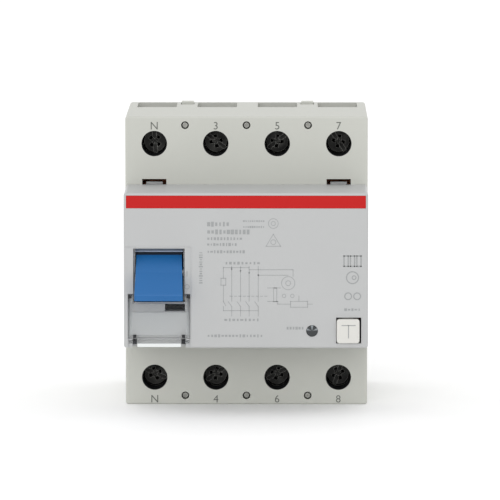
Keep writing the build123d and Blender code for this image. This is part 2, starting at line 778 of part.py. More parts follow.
def make_trip_parts():
    """Relay, its plunger, and the lever on its pin through which it releases the drive rod."""
    with BuildPart() as trip_relay:
        block(
            around(relay_x, relay_width / 2),
            (relay_low, relay_low + relay_height),
            (relay_front - relay_length, relay_front),
        )
        fillet(trip_relay.edges().filter_by(Axis.Y), corner_radius)
        bore = (relay_left - plunger_stand, relay_left + 2 * plunger_travel)
        rod_x(plunger_z, plunger_depth, plunger_radius + slip, bore, Mode.SUBTRACT)
    write(trip_relay.part, "trip_relay")

    with BuildPart() as relay_plunger:
        x = (relay_left - plunger_stand, relay_left + plunger_travel)
        rod_x(plunger_z, plunger_depth, plunger_radius, x)
        chamfer(relay_plunger.faces().sort_by(Axis.X)[0].edges(), plunger_radius / 4)
    write(relay_plunger.part, "relay_plunger")

    depth = around(plunger_depth, lever_thickness / 2)
    with BuildPart() as trip_lever:
        rod_y(lever_x, lever_z, lever_hub, depth)
        block((lever_x - lever_half, lever_x + lever_hub), (plunger_z - lever_half, lever_z), depth)
        block((toggle_x - lever_half, lever_x), around(lever_z, lever_half), depth)
        block(around(toggle_x, lever_half), (rod_high + gap, lever_z + lever_half), depth)
        bore = around(plunger_depth, lever_thickness)
        rod_y(lever_x, lever_z, lever_pin_radius + slip, bore, Mode.SUBTRACT)
    write(trip_lever.part, "trip_lever")

    with BuildPart() as trip_lever_pin:
        rod_y(lever_x, lever_z, lever_pin_radius, (depth[0] - lever_pin_radius, shoulder_depth - wall))
    write(trip_lever_pin.part, "trip_lever_pin")


# ---- current transformer -------------------------------------------------------------------------------


def make_transformer():
    """Ring core round the four conductors, in its winding's two half coils."""
    with BuildPart() as sum_transformer:
        with BuildSketch(Plane.XY.offset(core_low + winding_reach)):
            with Locations((0, -core_mid_depth)):
                Circle(core_outer - winding_reach)
                Circle(core_inner + winding_reach, mode=Mode.SUBTRACT)
        extrude(amount=core_height - 2 * winding_reach)
    write(sum_transformer.part, "sum_transformer")

    with BuildPart() as transformer_winding:
        with BuildSketch(Plane.XZ):
            middle = ((core_outer + core_inner) / 2, core_low + core_height / 2)
            with Locations(middle):
                RectangleRounded(core_outer - core_inner, core_height, winding_reach)
                Rectangle(
                    core_outer - core_inner - 2 * winding_reach,
                    core_height - 2 * winding_reach,
                    mode=Mode.SUBTRACT,
                )
        revolve(axis=Axis.Z, revolution_arc=150)
    half = transformer_winding.part.rotate(Axis.Z, 15)
    other = half.rotate(Axis.Z, 180)
    both = Compound(
        children=[piece.translate((0, -core_mid_depth, 0)) for piece in (half, other)]
    )
    write(both, "transformer_winding")


# ---- cap and what sits in it ---------------------------------------------------------------------------


def make_front_cap():
    """Raised cap: openings for the toggle, window, light and button, and the flap's recess."""
    through = (pad_back - wall, cap_depth + wall)
    with BuildPart() as front_cap:
        with BuildSketch(Plane.XZ.offset(shoulder_depth)):
            RectangleRounded(2 * cap_half_width, cap_height, corner_radius)
        extrude(amount=cap_depth - shoulder_depth)
        fillet(front_cap.faces().sort_by(Axis.Y)[0].edges(), edge_radius)
        space = (shoulder_depth, cap_space_depth)
        block(around(0, cap_space_x), around(0, cap_space_z), space, Mode.SUBTRACT)
        face = (cap_depth - step_height, cap_depth + wall)
        block((-body_width, step_x), (-cap_height, step_z), face, Mode.SUBTRACT)
        # pad behind the flap's recess, and on it the rib that the position flag slides on
        recess_x = around(toggle_x, recess_half_width)
        pad = (recess_x[1] + pad_margin, recess_high + pad_margin)
        block((-cap_space_x, pad[0]), (-cap_space_z, pad[1]), (pad_back, cap_space_depth))
        rib = (flag_z[0] - seat - flag_rib, flag_z[0] - seat)
        lip_depth = flag_front - flag_thickness - seat
        block((flag_x[0], recess_x[1]), rib, (lip_depth - flag_rib, pad_back))
        block((flag_x[0], recess_x[1]), (rib[0], rib[1] + flag_rib), (lip_depth - flag_rib, lip_depth))
        # flap's recess, the pocket that its knuckle and lip turn in, and the bearings of its two pins
        front = cap_depth + wall
        block(recess_x, (flap_low - gap, recess_high), (recess_depth, front), Mode.SUBTRACT)
        below = (-cap_height, flap_low)
        pocket_back = flap_pin_depth - lip_swing - gap
        block(around(toggle_x, pocket_half), below, (pocket_back, front), Mode.SUBTRACT)
        block(recess_x, (flap_pin_z + knuckle_radius, flap_low), (recess_depth, front), Mode.SUBTRACT)
        block(recess_x, below, (flap_pin_depth + flap_pin_lip, front), Mode.SUBTRACT)
        pins = around(toggle_x, knuckle_half + flap_pin_length + slip)
        rod_x(flap_pin_z, flap_pin_depth, flap_pin_radius + slip, pins, Mode.SUBTRACT)
        # openings for the toggle, the window, the button and the light
        block(around(toggle_x, opening_half_width), (opening_low, opening_high), through, Mode.SUBTRACT)
        block((window_left, window_right), (window_low, window_high), through, Mode.SUBTRACT)
        button_open = (
            button_x - button_width / 2 - button_gap_left,
            button_x + button_width / 2 + button_gap_right,
        )
        button_way = (button_back - button_travel - gap, front)
        button_open_z = (
            button_z - button_height / 2 - button_gap_bottom,
            button_z + button_height / 2 + button_gap_top,
        )
        block(button_open, button_open_z, button_way, Mode.SUBTRACT)
        rod_y(light_x, button_z, light_radius + slip, through, Mode.SUBTRACT)
        # seat of the stripe
        stripe_x = around(0, cap_half_width - stripe_end + slip)
        stripe_seat = around(stripe_z, stripe_height / 2 + slip)
        block(stripe_x, stripe_seat, (cap_depth - stripe_thickness, front), Mode.SUBTRACT)
        # posts for the circuit board, with pegs that pass through it
        for x, z in board_posts:
            rod_y(x, z, post_radius, (board_front, cap_space_depth))
            rod_y(x, z, peg_radius, (board_front - board_thickness - peg_stand, board_front))
        # snap hooks that hold the cap in the cover
        for side in (1, -1):
            for x in (pole_x[0], pole_x[-1]):
                inner = cap_half_height - hook_thickness
                hook_back = shoulder_depth - wall - seat - hook_head
                arm = outward(inner, cap_half_height, side)
                barb = outward(inner, cap_half_height + hook_barb, side)
                block(around(x, hook_width / 2), arm, (hook_back, shoulder_depth))
                block(around(x, hook_width / 2), barb, (hook_back, hook_back + hook_head))
    write(front_cap.part, "front_cap")


def make_red_stripe():
    """Coloured strip let into the top of the cap's face."""
    with BuildPart() as red_stripe:
        depth = (cap_depth - stripe_thickness, cap_depth)
        block(around(0, cap_half_width - stripe_end), around(stripe_z, stripe_height / 2), depth)
        fillet(red_stripe.edges().filter_by(Axis.Y), edge_radius / 2)
    write(red_stripe.part, "red_stripe")


def make_label_flap():
    """Clear flap over the label: a sheet with two arms beside the toggle, and a knuckle with two pins."""
    sheet = (flap_back, flap_front)
    with BuildPart() as label_flap:
        block(around(toggle_x, flap_half_width), (flap_low, recess_high - gap), sheet)
        cut = (opening_low - gap, recess_high)
        through = (flap_back - flap_thickness, flap_front + flap_thickness)
        block(around(toggle_x, opening_half_width), cut, through, Mode.SUBTRACT)
        fillet(label_flap.edges().filter_by(Axis.Y).group_by(Axis.Z)[-1], flap_side_margin / 5)
        rod_x(flap_pin_z, flap_pin_depth, knuckle_radius, around(toggle_x, knuckle_half))
        neck = (flap_pin_depth, flap_front)
        block(around(toggle_x, knuckle_half), (lip_low, flap_low), neck)
        pins = around(toggle_x, knuckle_half + flap_pin_length)
        rod_x(flap_pin_z, flap_pin_depth, flap_pin_radius, pins)
    write(label_flap.part, "label_flap")


def make_label_card():
    """Paper card between the flap and the floor of its recess."""
    with BuildPart() as label_card:
        depth = (recess_depth + seat, recess_depth + seat + card_thickness)
        z = (flap_low + card_end_gap, window_low - gap)
        block(around(toggle_x, flap_half_width - gap), z, depth)
    write(label_card.part, "label_card")


def make_position_flag():
    """Two-coloured plate that slides behind the window."""
    with BuildPart() as position_flag:
        block(flag_x, flag_z, (flag_front - flag_thickness, flag_front))
        fillet(position_flag.edges().filter_by(Axis.Y), flag_margin / 2)
    write(position_flag.part, "position_flag")


def make_test_button():
    """Push button with a flange that stops it behind the cap's face."""
    with BuildPart() as test_button:
        body = (button_back, button_back + button_body)
        block(around(button_x, button_width / 2), around(button_z, button_height / 2), body)
        fillet(test_button.edges().filter_by(Axis.Y), corner_radius)
        fillet(test_button.faces().sort_by(Axis.Y)[0].edges(), edge_radius / 2)
        # stop tabs to the left and above
        flange = (cap_space_depth - seat - button_flange, cap_space_depth - seat)
        tab = button_stop_width / 2
        reach_x = button_x - button_width / 2 - button_gap_left - button_flange_reach
        block((reach_x, button_x), around(button_z, tab), flange)
        reach_z = button_height / 2 + button_gap_top + button_flange_reach
        block(around(button_x, tab), (button_z, button_z + reach_z), flange)
    write(test_button.part, "test_button")


def make_test_contact_spring():
    """Leaf spring on the circuit board under the test button, drawn as the button leaves it when pressed."""
    top = button_back - button_travel - slip
    foot_x = button_x - button_width
    leaf = leaf_thickness
    with BuildPart() as test_contact_spring:
        z = around(button_z, leaf_width / 2)
        block((foot_x, foot_x + leaf_width), z, (board_front, board_front + leaf))
        block((foot_x, foot_x + leaf), z, (board_front, top))
        block((foot_x, button_x + leaf_width / 2), z, (top - leaf, top))
    write(test_contact_spring.part, "test_contact_spring")


def make_status_lens():
    """Lens of the status light, with a collar behind the cap's wall."""
    with BuildPart() as status_lens:
        collar = (cap_space_depth - seat - button_flange, cap_space_depth - seat)
        rod_y(light_x, button_z, light_radius, (collar[0], cap_depth + light_stand))
        fillet(status_lens.faces().sort_by(Axis.Y)[0].edges(), light_stand)
        rod_y(light_x, button_z, light_radius + button_flange_reach, collar)
    write(status_lens.part, "status_lens")


def make_circuit_board():
    """Board behind the cap's face, and the components soldered to it."""
    back = board_front - board_thickness
    x = (board_left, cap_space_x - board_margin)
    z = around(0, cap_space_z - board_margin)
    with BuildPart() as circuit_board:
        block(x, z, (back, board_front))
        fillet(circuit_board.edges().filter_by(Axis.Y), corner_radius)
        through = (back - board_thickness, board_front + board_thickness)
        for post_x, post_z in board_posts:
            rod_y(post_x, post_z, peg_radius + slip, through, Mode.SUBTRACT)
    write(circuit_board.part, "circuit_board")

    with BuildPart() as board_components:
        # light source under the lens, then capacitors, a chip, and the resistor of the test circuit
        light_source = (board_front, cap_space_depth - button_flange - 4 * seat)
        rod_y(light_x, button_z, light_radius - 3 * slip, light_source)
        for x in capacitor_x:
            rod_y(x, capacitor_z, capacitor_radius, (board_front, board_front + capacitor_length))
        chip = (board_front, board_front + chip_thickness)
        block(around(chip_place[0], chip_size[0] / 2), around(chip_place[1], chip_size[1] / 2), chip)
        rod_x(resistor_z, board_front + resistor_radius, resistor_radius - slip, resistor_x)
        for x in diode_x:
            diode = (back - diode_thickness, back)
            block(around(x, diode_size[0] / 2), around(diode_z, diode_size[1] / 2), diode)
    write(board_components.part, "board_components")


def make_sense_wires():
    """Wires from the winding to the circuit board, and from the board on to the relay."""
    board_back = board_front - board_thickness
    with BuildPart() as sense_wires:
        for x in wire_x:
            with BuildLine():
                route = FilletPolyline(
                    (x, -wire_depth, core_high),
                    (x, -wire_depth, wire_z),
                    (x, -board_back, wire_z),
                    radius=wire_bend,
                )
            with BuildSketch(Plane(origin=route @ 0, z_dir=route % 0)):
                Circle(wire_radius)
            sweep(path=route)
            rod_y(x, relay_wire_z, wire_radius, (relay_front, board_back))
    write(sense_wires.part, "sense_wires")


def main():
    """Builds every piece into parts/."""
    os.makedirs("parts", exist_ok=True)
    make_housing_base()
    make_housing_cover()
    make_housing_pins()
    make_rail_latches()
    make_terminals()
    make_line_bars()
    make_load_bars()
    make_contact_tips()
    make_contact_bridges()
    make_contact_carrier()
    make_contact_springs()
    make_toggle()
    make_mechanism_frame()
    make_drive_rod()
    make_toggle_spring()
    make_trip_parts()
    make_transformer()
    make_sense_wires()
    make_front_cap()
    make_red_stripe()
    make_label_flap()
    make_label_card()
    make_position_flag()
    make_test_button()
    make_test_contact_spring()
    make_status_lens()
    make_circuit_board()


main()
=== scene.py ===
# %% [markdown]
# A residual current device, dressed and lit.
#
# The device is already designed: its shells, levers, screws and copper come in as a fixed frame, each
# piece in its place. This lesson gives every piece the finish of the real one and adds what a designer
# leaves to the workshop: print, threads and windings. Nothing in the frame is moved.

# %% Load the fixed frame
import math
import random

import bmesh
import bpy
from mathutils import Matrix, Vector


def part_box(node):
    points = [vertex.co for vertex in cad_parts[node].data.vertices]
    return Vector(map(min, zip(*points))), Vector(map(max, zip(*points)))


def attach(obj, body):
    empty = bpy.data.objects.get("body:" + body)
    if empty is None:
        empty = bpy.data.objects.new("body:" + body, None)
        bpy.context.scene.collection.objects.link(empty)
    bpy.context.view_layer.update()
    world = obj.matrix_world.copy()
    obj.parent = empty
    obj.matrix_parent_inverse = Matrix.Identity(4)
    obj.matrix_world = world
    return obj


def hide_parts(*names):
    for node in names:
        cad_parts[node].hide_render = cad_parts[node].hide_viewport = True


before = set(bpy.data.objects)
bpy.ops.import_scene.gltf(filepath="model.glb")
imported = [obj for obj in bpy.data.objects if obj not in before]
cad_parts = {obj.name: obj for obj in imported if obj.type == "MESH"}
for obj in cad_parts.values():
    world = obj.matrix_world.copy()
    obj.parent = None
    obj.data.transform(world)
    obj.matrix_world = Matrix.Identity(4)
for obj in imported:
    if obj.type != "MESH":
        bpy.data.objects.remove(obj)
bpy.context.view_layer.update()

# %% [markdown]
# Many places in this file are counted from the frame's own boxes; the print, the marks and a few offsets
# are given in millimetres. The device faces -Y, +X is to its right and +Z is up; lengths are in metres, and
# MM keeps them readable.

# %% Read the places that the finishes hang on
MM = 0.001


def corners(node):
    """Lowest and highest corner of a piece, as vectors."""
    low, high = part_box(node)
    return Vector(low), Vector(high)


housing_low, housing_high = corners("housing_base")
toggle_low, toggle_high = corners("toggle")
button_low, button_high = corners("test_button")
shoulder_y = corners("housing_cover")[0].y
face_y = corners("red_stripe")[0].y
print("cap stands", round((shoulder_y - face_y) / MM, 1), "mm in front of the shoulders")

# %% [markdown]
# The view comes first, because it decides how fine the rest has to be. A long lens a metre and a half away
# keeps the front nearly free of perspective. The camera stands a little above the device and a touch to
# its right, so the top shows as a narrow band.

# %% Place the camera
VIEW_DISTANCE = 1.5
VIEW_ABOVE = math.radians(6.5)
VIEW_RIGHT = math.radians(0.35)
FIELD_WIDTH = 0.1479  # what the frame takes in, at the target


def linked(name, data):
    """A new object for some data, put in the scene."""
    thing = bpy.data.objects.new(name, data)
    bpy.context.collection.objects.link(thing)
    return thing


def look_at(thing, target):
    """Turns a camera or a lamp so that it looks at a point."""
    thing.rotation_euler = (Vector(target) - thing.location).to_track_quat("-Z", "Y").to_euler()


target = Vector((0.95 * MM, (housing_high.y + face_y) / 2, 1.75 * MM))
camera_data = bpy.data.cameras.new("view")
camera_data.sensor_width = 36.0
camera_data.lens = camera_data.sensor_width * VIEW_DISTANCE / FIELD_WIDTH
camera = linked("view", camera_data)
away = Vector((math.sin(VIEW_RIGHT), -math.cos(VIEW_RIGHT), math.tan(VIEW_ABOVE)))
camera.location = target + away.normalized() * VIEW_DISTANCE
look_at(camera, target)
bpy.context.scene.camera = camera
print("lens", round(camera_data.lens), "mm")

# %% [markdown]
# A product table: a pale floor that runs far back under a bright even surround, and one very wide soft
# sun, a little above the device and to its left. A sun lights near and far floor alike, so the background
# stays white right up to its edge. Its width keeps the grey shadow under the raised cap soft.

# %% Lay the floor and hang the lights
FLOOR_SIZE = 12.0


def soft_sun(above, left, spread_angle, strength):
    """A wide sun that looks at the device from in front, a little above and to one side."""
    data = bpy.data.lights.new("soft_sun", "SUN")
    data.angle = math.radians(spread_angle)
    data.energy = strength
    lamp = linked("soft_sun", data)
    above, left = math.radians(above), math.radians(left)
    lamp.location = (-math.sin(left), -math.cos(left), math.tan(above))
    look_at(lamp, (0, 0, 0))


def floor_material():
    """Matt white paper with a faint tooth."""
    material = bpy.data.materials.new("floor_paper")
    material.use_nodes = True
    nodes, links = material.node_tree.nodes, material.node_tree.links
    shader = nodes["Principled BSDF"]
    shader.inputs["Roughness"].default_value = 0.9
    place = nodes.new("ShaderNodeTexCoord")
    noise = nodes.new("ShaderNodeTexNoise")
    noise.inputs["Scale"].default_value = 40.0
    ramp = nodes.new("ShaderNodeMapRange")
    ramp.inputs["To Min"].default_value = 0.93
    ramp.inputs["To Max"].default_value = 0.97
    links.new(place.outputs["Object"], noise.inputs["Vector"])
    links.new(noise.outputs["Fac"], ramp.inputs["Value"])
    links.new(ramp.outputs["Result"], shader.inputs["Base Color"])
    return material


bpy.ops.mesh.primitive_plane_add(size=FLOOR_SIZE, location=(0, FLOOR_SIZE * 0.35, housing_low.z))
floor = bpy.context.object
floor.name = "floor"
floor.data.materials.append(floor_material())

soft_sun(above=20, left=10, spread_angle=36, strength=0.65)

world = bpy.data.worlds.new("surround")
world.use_nodes = True
world.node_tree.nodes["Background"].inputs["Color"].default_value = (1.0, 1.0, 1.0, 1.0)
world.node_tree.nodes["Background"].inputs["Strength"].default_value = 1.1
bpy.context.scene.world = world
bpy.context.scene.view_settings.view_transform = "Standard"
print("floor at z =", round(housing_low.z / MM, 1), "mm")

# %% [markdown]
# Finishes share a few effects, so each effect is a small node group: built once, placed in many materials
# with its own values. A group only ever puts out numbers, such as a height or a mask; the shader that
# uses them stays in the material.
#
# The first is the skin that spark erosion leaves in a mould. Under a lens it is a field of tiny soft
# craters, with long waves where the plastic cooled unevenly.

# %% Node group: the moulded skin of plastic


def new_group(name, inputs, outputs):
    """An empty shader node group with number sockets, and its input and output nodes."""
    group = bpy.data.node_groups.new(name, "ShaderNodeTree")
    for socket, value in inputs.items():
        kind = "NodeSocketVector" if value is None else "NodeSocketFloat"
        made = group.interface.new_socket(socket, in_out="INPUT", socket_type=kind)
        if value is not None:
            made.default_value = value
    for socket in outputs:
        group.interface.new_socket(socket, in_out="OUTPUT", socket_type="NodeSocketFloat")
    return group, group.nodes.new("NodeGroupInput"), group.nodes.new("NodeGroupOutput")


def maths(tree, operation, first, second=None):
    """A Math node fed by sockets or plain numbers, and its output."""
    node = tree.nodes.new("ShaderNodeMath")
    node.operation = operation
    for socket, value in zip(node.inputs, (first, second)):
        if value is None:
            continue
        if isinstance(value, (int, float)):
            socket.default_value = value
        else:
            tree.links.new(value, socket)
    return node.outputs[0]


def noise(tree, place, scale, detail=2.0):
    """A Noise Texture at a scale, and its value."""
    node = tree.nodes.new("ShaderNodeTexNoise")
    node.inputs["Detail"].default_value = detail
    if isinstance(scale, (int, float)):
        node.inputs["Scale"].default_value = scale
    else:
        tree.links.new(scale, node.inputs["Scale"])
    tree.links.new(place, node.inputs["Vector"])
    return node.outputs["Fac"]


def moulded_skin_group():
    """Fine craters for the height, and long soft waves for the tint."""
    group, inside, outside = new_group(
        "moulded_skin", {"Place": None, "Grain per metre": 7000.0, "Wave per metre": 60.0}, ["Height", "Tint"]
    )
    place = inside.outputs["Place"]
    craters = noise(group, place, inside.outputs["Grain per metre"], 3.0)
    coarse = noise(group, place, maths(group, "MULTIPLY", inside.outputs["Grain per metre"], 0.3), 1.0)
    fine_part, coarse_part = maths(group, "MULTIPLY", craters, 0.65), maths(group, "MULTIPLY", coarse, 0.35)
    height = maths(group, "ADD", fine_part, coarse_part)
    waves = noise(group, place, inside.outputs["Wave per metre"], 3.0)
    group.links.new(height, outside.inputs["Height"])
    group.links.new(waves, outside.inputs["Tint"])
    return group


moulded_skin = moulded_skin_group()
print("group", moulded_skin.name)

# %% [markdown]
# The second is worn edges. Handling polishes plastic and bares metal where it stands out, so the mask is
# strong where a rounded-off normal leans away from the true one, and broken up by noise.

# %% Node group: worn edges


def edge_wear_group():
    """A mask that is 1 on edges that stand out, broken up by noise."""
    group, inside, outside = new_group(
        "edge_wear", {"Place": None, "Reach": 0.0003, "Break up": 900.0}, ["Mask"]
    )
    rounded = group.nodes.new("ShaderNodeBevel")
    rounded.samples = 4
    group.links.new(inside.outputs["Reach"], rounded.inputs["Radius"])
    true = group.nodes.new("ShaderNodeNewGeometry")
    lean = group.nodes.new("ShaderNodeVectorMath")
    lean.operation = "DOT_PRODUCT"
    group.links.new(rounded.outputs["Normal"], lean.inputs[0])
    group.links.new(true.outputs["Normal"], lean.inputs[1])
    edge = maths(group, "SUBTRACT", 1.0, lean.outputs["Value"])
    sharp = maths(group, "MULTIPLY", edge, 6.0)
    patches = noise(group, inside.outputs["Place"], inside.outputs["Break up"], 3.0)
    broken = maths(group, "MULTIPLY", sharp, patches)
    node = group.nodes.new("ShaderNodeClamp")
    group.links.new(broken, node.inputs["Value"])
    group.links.new(node.outputs["Result"], outside.inputs["Mask"])
    return group


edge_wear = edge_wear_group()
print("group", edge_wear.name)

# %% [markdown]
# The third is drawn or rolled metal: lines along one direction, which a stretched noise gives. Steel wire,
# plated sheet and copper bar differ only in how deep the lines are and which way they run.

# %% Node group: drawn metal


def drawn_metal_group():
    """Lines along X of the place vector, with a cloud of stains."""
    group, inside, outside = new_group(
        "drawn_metal",
        {"Place": None, "Lines per metre": 9000.0, "Stain per metre": 350.0},
        ["Lines", "Stain"],
    )
    squeeze = group.nodes.new("ShaderNodeVectorMath")
    squeeze.operation = "MULTIPLY"
    squeeze.inputs[1].default_value = (0.04, 1.0, 1.0)
    group.links.new(inside.outputs["Place"], squeeze.inputs[0])
    lines = noise(group, squeeze.outputs["Vector"], inside.outputs["Lines per metre"], 2.0)
    stain = noise(group, inside.outputs["Place"], inside.outputs["Stain per metre"], 4.0)
    group.links.new(lines, outside.inputs["Lines"])
    group.links.new(stain, outside.inputs["Stain"])
    return group


drawn_metal = drawn_metal_group()
print("group", drawn_metal.name)

# %% [markdown]
# A material is then short: it places its groups, mixes two tints of its own colour, and sets gloss. These
# helpers do the wiring that every finish shares, once for moulded plastic and once for metal.

# %% Helpers that build a finish


def srgb(red, green, blue):
    """A colour as paint charts give it, 0 to 255, made linear for the shader."""
    parts = []
    for part in (red, green, blue):
        share = part / 255
        parts.append(share / 12.92 if share <= 0.04045 else ((share + 0.055) / 1.055) ** 2.4)
    return (*parts, 1.0)


def start_material(name, roughness, metallic=0.0):
    """A new material with its shader and the place vector that patterns read."""
    material = bpy.data.materials.new(name)
    material.use_nodes = True
    tree = material.node_tree
    shader = tree.nodes["Principled BSDF"]
    shader.inputs["Roughness"].default_value = roughness
    shader.inputs["Metallic"].default_value = metallic
    place = tree.nodes.new("ShaderNodeTexCoord").outputs["Object"]
    return material, tree, shader, place


def group_node(tree, group, place, **values):
    """Places a node group, feeds it the place vector and sets its numbers."""
    node = tree.nodes.new("ShaderNodeGroup")
    node.node_tree = group
    tree.links.new(place, node.inputs["Place"])
    for socket, value in values.items():
        node.inputs[socket.replace("_", " ")].default_value = value
    return node


def mix(tree, factor, first, second):
    """Mixes two colours, each a socket or a plain colour."""
    node = tree.nodes.new("ShaderNodeMix")
    node.data_type = "RGBA"
    tree.links.new(factor, node.inputs["Factor"])
    for socket, value in ((node.inputs[6], first), (node.inputs[7], second)):
        if isinstance(value, tuple):
            socket.default_value = value
        else:
            tree.links.new(value, socket)
    return node.outputs[2]


def spread(tree, value, low, high):
    """Maps a value of 0 to 1 onto a range."""
    node = tree.nodes.new("ShaderNodeMapRange")
    node.inputs["To Min"].default_value = low
    node.inputs["To Max"].default_value = high
    tree.links.new(value, node.inputs["Value"])
    return node.outputs["Result"]


def ramp(tree, value, start, end, low, high):
    """Maps the stretch from start to end onto low to high, and holds there beyond it."""
    node = tree.nodes.new("ShaderNodeMapRange")
    for socket, number in (("From Min", start), ("From Max", end), ("To Min", low), ("To Max", high)):
        node.inputs[socket].default_value = number
    tree.links.new(value, node.inputs["Value"])
    return node.outputs["Result"]


def bump(tree, shader, height, strength, depth):
    """Feeds a height to the shader's normal."""
    node = tree.nodes.new("ShaderNodeBump")
    node.inputs["Strength"].default_value = strength
    node.inputs["Distance"].default_value = depth
    tree.links.new(height, node.inputs["Height"])
    tree.links.new(node.outputs["Normal"], shader.inputs["Normal"])


def plastic(name, colour, shade=0.93, edge=1.12, roughness=0.45, grain=7000.0, relief=0.35, coat=0.0):
    """Moulded plastic: two tints in long waves, paler edges, eroded skin."""
    material, tree, shader, place = start_material(name, roughness)
    skin = group_node(tree, moulded_skin, place, Grain_per_metre=grain)
    worn = group_node(tree, edge_wear, place)
    dark = tuple(part * shade for part in colour[:3]) + (1.0,)
    pale = tuple(min(1.0, part * edge) for part in colour[:3]) + (1.0,)
    body = mix(tree, skin.outputs["Tint"], dark, colour)
    tree.links.new(mix(tree, worn.outputs["Mask"], body, pale), shader.inputs["Base Color"])
    gloss = spread(tree, skin.outputs["Tint"], roughness - 0.05, roughness + 0.05)
    tree.links.new(gloss, shader.inputs["Roughness"])
    shader.inputs["Coat Weight"].default_value = coat
    bump(tree, shader, skin.outputs["Height"], relief, 0.00004)
    return material


def metal(name, colour, stain_colour, roughness=0.35, lines=9000.0, relief=0.25, edge=(1.0, 1.0, 1.0, 1.0)):
    """Drawn, rolled or plated metal: lines, stains and bright edges."""
    material, tree, shader, place = start_material(name, roughness, 1.0)
    drawn = group_node(tree, drawn_metal, place, Lines_per_metre=lines)
    worn = group_node(tree, edge_wear, place)
    stained = mix(tree, spread(tree, drawn.outputs["Stain"], -0.6, 1.4), colour, stain_colour)
    tree.links.new(mix(tree, worn.outputs["Mask"], stained, edge), shader.inputs["Base Color"])
    gloss = spread(tree, drawn.outputs["Stain"], roughness - 0.1, roughness + 0.15)
    tree.links.new(gloss, shader.inputs["Roughness"])
    bump(tree, shader, drawn.outputs["Lines"], relief, 0.00002)
    return material


def dress(material, *names):
    """Puts one material on CAD pieces, in place of the plain one they came with."""
    for name in names:
        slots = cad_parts[name].data.materials
        slots.clear()
        slots.append(material)


def numbered(*stems, count=4):
    """Names of pieces that come in numbered sets."""
    return [f"{stem}_{i}" for stem in stems for i in range(1, count + 1)]


print("finishes can be mixed: plastic and metal")

# %% [markdown]
# The housing and the cap are the same kind of light grey plastic from two mouldings, so they match
# closely but not quite: the shells are a touch warmer, the cap a touch cooler and smoother.

# %% Finish the shells, the cap and the stripe
shell_grey = plastic("shell_grey", srgb(186, 187, 180), roughness=0.5, relief=0.4)
cap_grey = plastic("cap_grey", srgb(174, 175, 175), roughness=0.42, relief=0.3)
stripe_red = plastic("stripe_red", srgb(180, 8, 6), roughness=0.5, grain=9000.0, relief=0.12)
stripe_red.node_tree.nodes["Principled BSDF"].inputs["Specular IOR Level"].default_value = 0.25
dress(shell_grey, "housing_base", "housing_cover")
dress(cap_grey, "front_cap")
dress(stripe_red, "red_stripe")
print("shells, cap and stripe")

# %% [markdown]
# What a hand touches is smoother: the toggle and the button come from polished moulds. The toggle's blue
# is deep and satin, the button is nearly white.

# %% Finish the toggle, the button and the latches
toggle_blue = plastic(
    "toggle_blue", srgb(8, 93, 155), shade=0.92, edge=1.15, roughness=0.45, grain=5000.0, relief=0.15
)
button_white = plastic(
    "button_white", srgb(202, 201, 196), shade=0.97, edge=1.05, roughness=0.38, relief=0.15
)
latch_grey = plastic("latch_grey", srgb(194, 195, 188), roughness=0.5, relief=0.45)
dress(toggle_blue, "toggle")
dress(button_white, "test_button")
dress(latch_grey, "rail_latch_left", "rail_latch_right")
print("toggle, button, latches")

# %% [markdown]
# The flap is a thin sheet of clear polycarbonate. A sheet this thin hardly bends light, so it is made by
# letting most of the light straight past with Alpha, and more of it is held back where the sheet is seen
# edge on. Painted shade darkens its two sides, most towards the top, and hair scratches show that it is
# often thumbed open.

# %% Finish the flap, its card, the lens and the flag
FLAP_SHADE_WIDTH = 1.3 * MM  # width of the painted shade down each side


def flap_side_shade_mask(tree, place):
    """Mask of the painted shade: 1 along both upright edges of the flap, 0 in its middle, and weaker towards
    the hinge.
    """
    low, high = corners("label_flap")
    apart = tree.nodes.new("ShaderNodeSeparateXYZ")
    tree.links.new(place, apart.inputs["Vector"])
    off_middle = maths(tree, "ABSOLUTE", maths(tree, "SUBTRACT", apart.outputs["X"], (low.x + high.x) / 2))
    half = (high.x - low.x) / 2
    side = ramp(tree, off_middle, half - FLAP_SHADE_WIDTH, half - 0.3 * FLAP_SHADE_WIDTH, 0, 1)
    fade = ramp(tree, apart.outputs["Z"], low.z + 1.5 * MM, high.z, 0.1, 1.0)
    return maths(tree, "MULTIPLY", side, fade)


def clear_flap():
    """Clear plastic with painted shade down its sides, and hair scratches."""
    material, tree, shader, place = start_material("clear_flap", 0.12)
    scratches = group_node(tree, drawn_metal, place, Lines_per_metre=4000.0)
    side = flap_side_shade_mask(tree, place)
    # The grey along both sides is painted shade over the clear sheet's whitish colour.
    tree.links.new(mix(tree, side, srgb(226, 230, 232), srgb(92, 92, 90)), shader.inputs["Base Color"])
    tree.links.new(spread(tree, scratches.outputs["Lines"], 0.05, 0.2), shader.inputs["Roughness"])
    edge_on = tree.nodes.new("ShaderNodeLayerWeight")
    edge_on.inputs["Blend"].default_value = 0.35
    veil = maths(tree, "ADD", maths(tree, "MULTIPLY", edge_on.outputs["Facing"], 0.8), 0.005)
    haze = maths(tree, "ADD", veil, maths(tree, "MULTIPLY", scratches.outputs["Lines"], 0.01))
    # The sides are also made less clear, so that the painted shade shows.
    solid = maths(tree, "ADD", haze, maths(tree, "MULTIPLY", side, 0.4))
    tree.links.new(solid, shader.inputs["Alpha"])
    return material


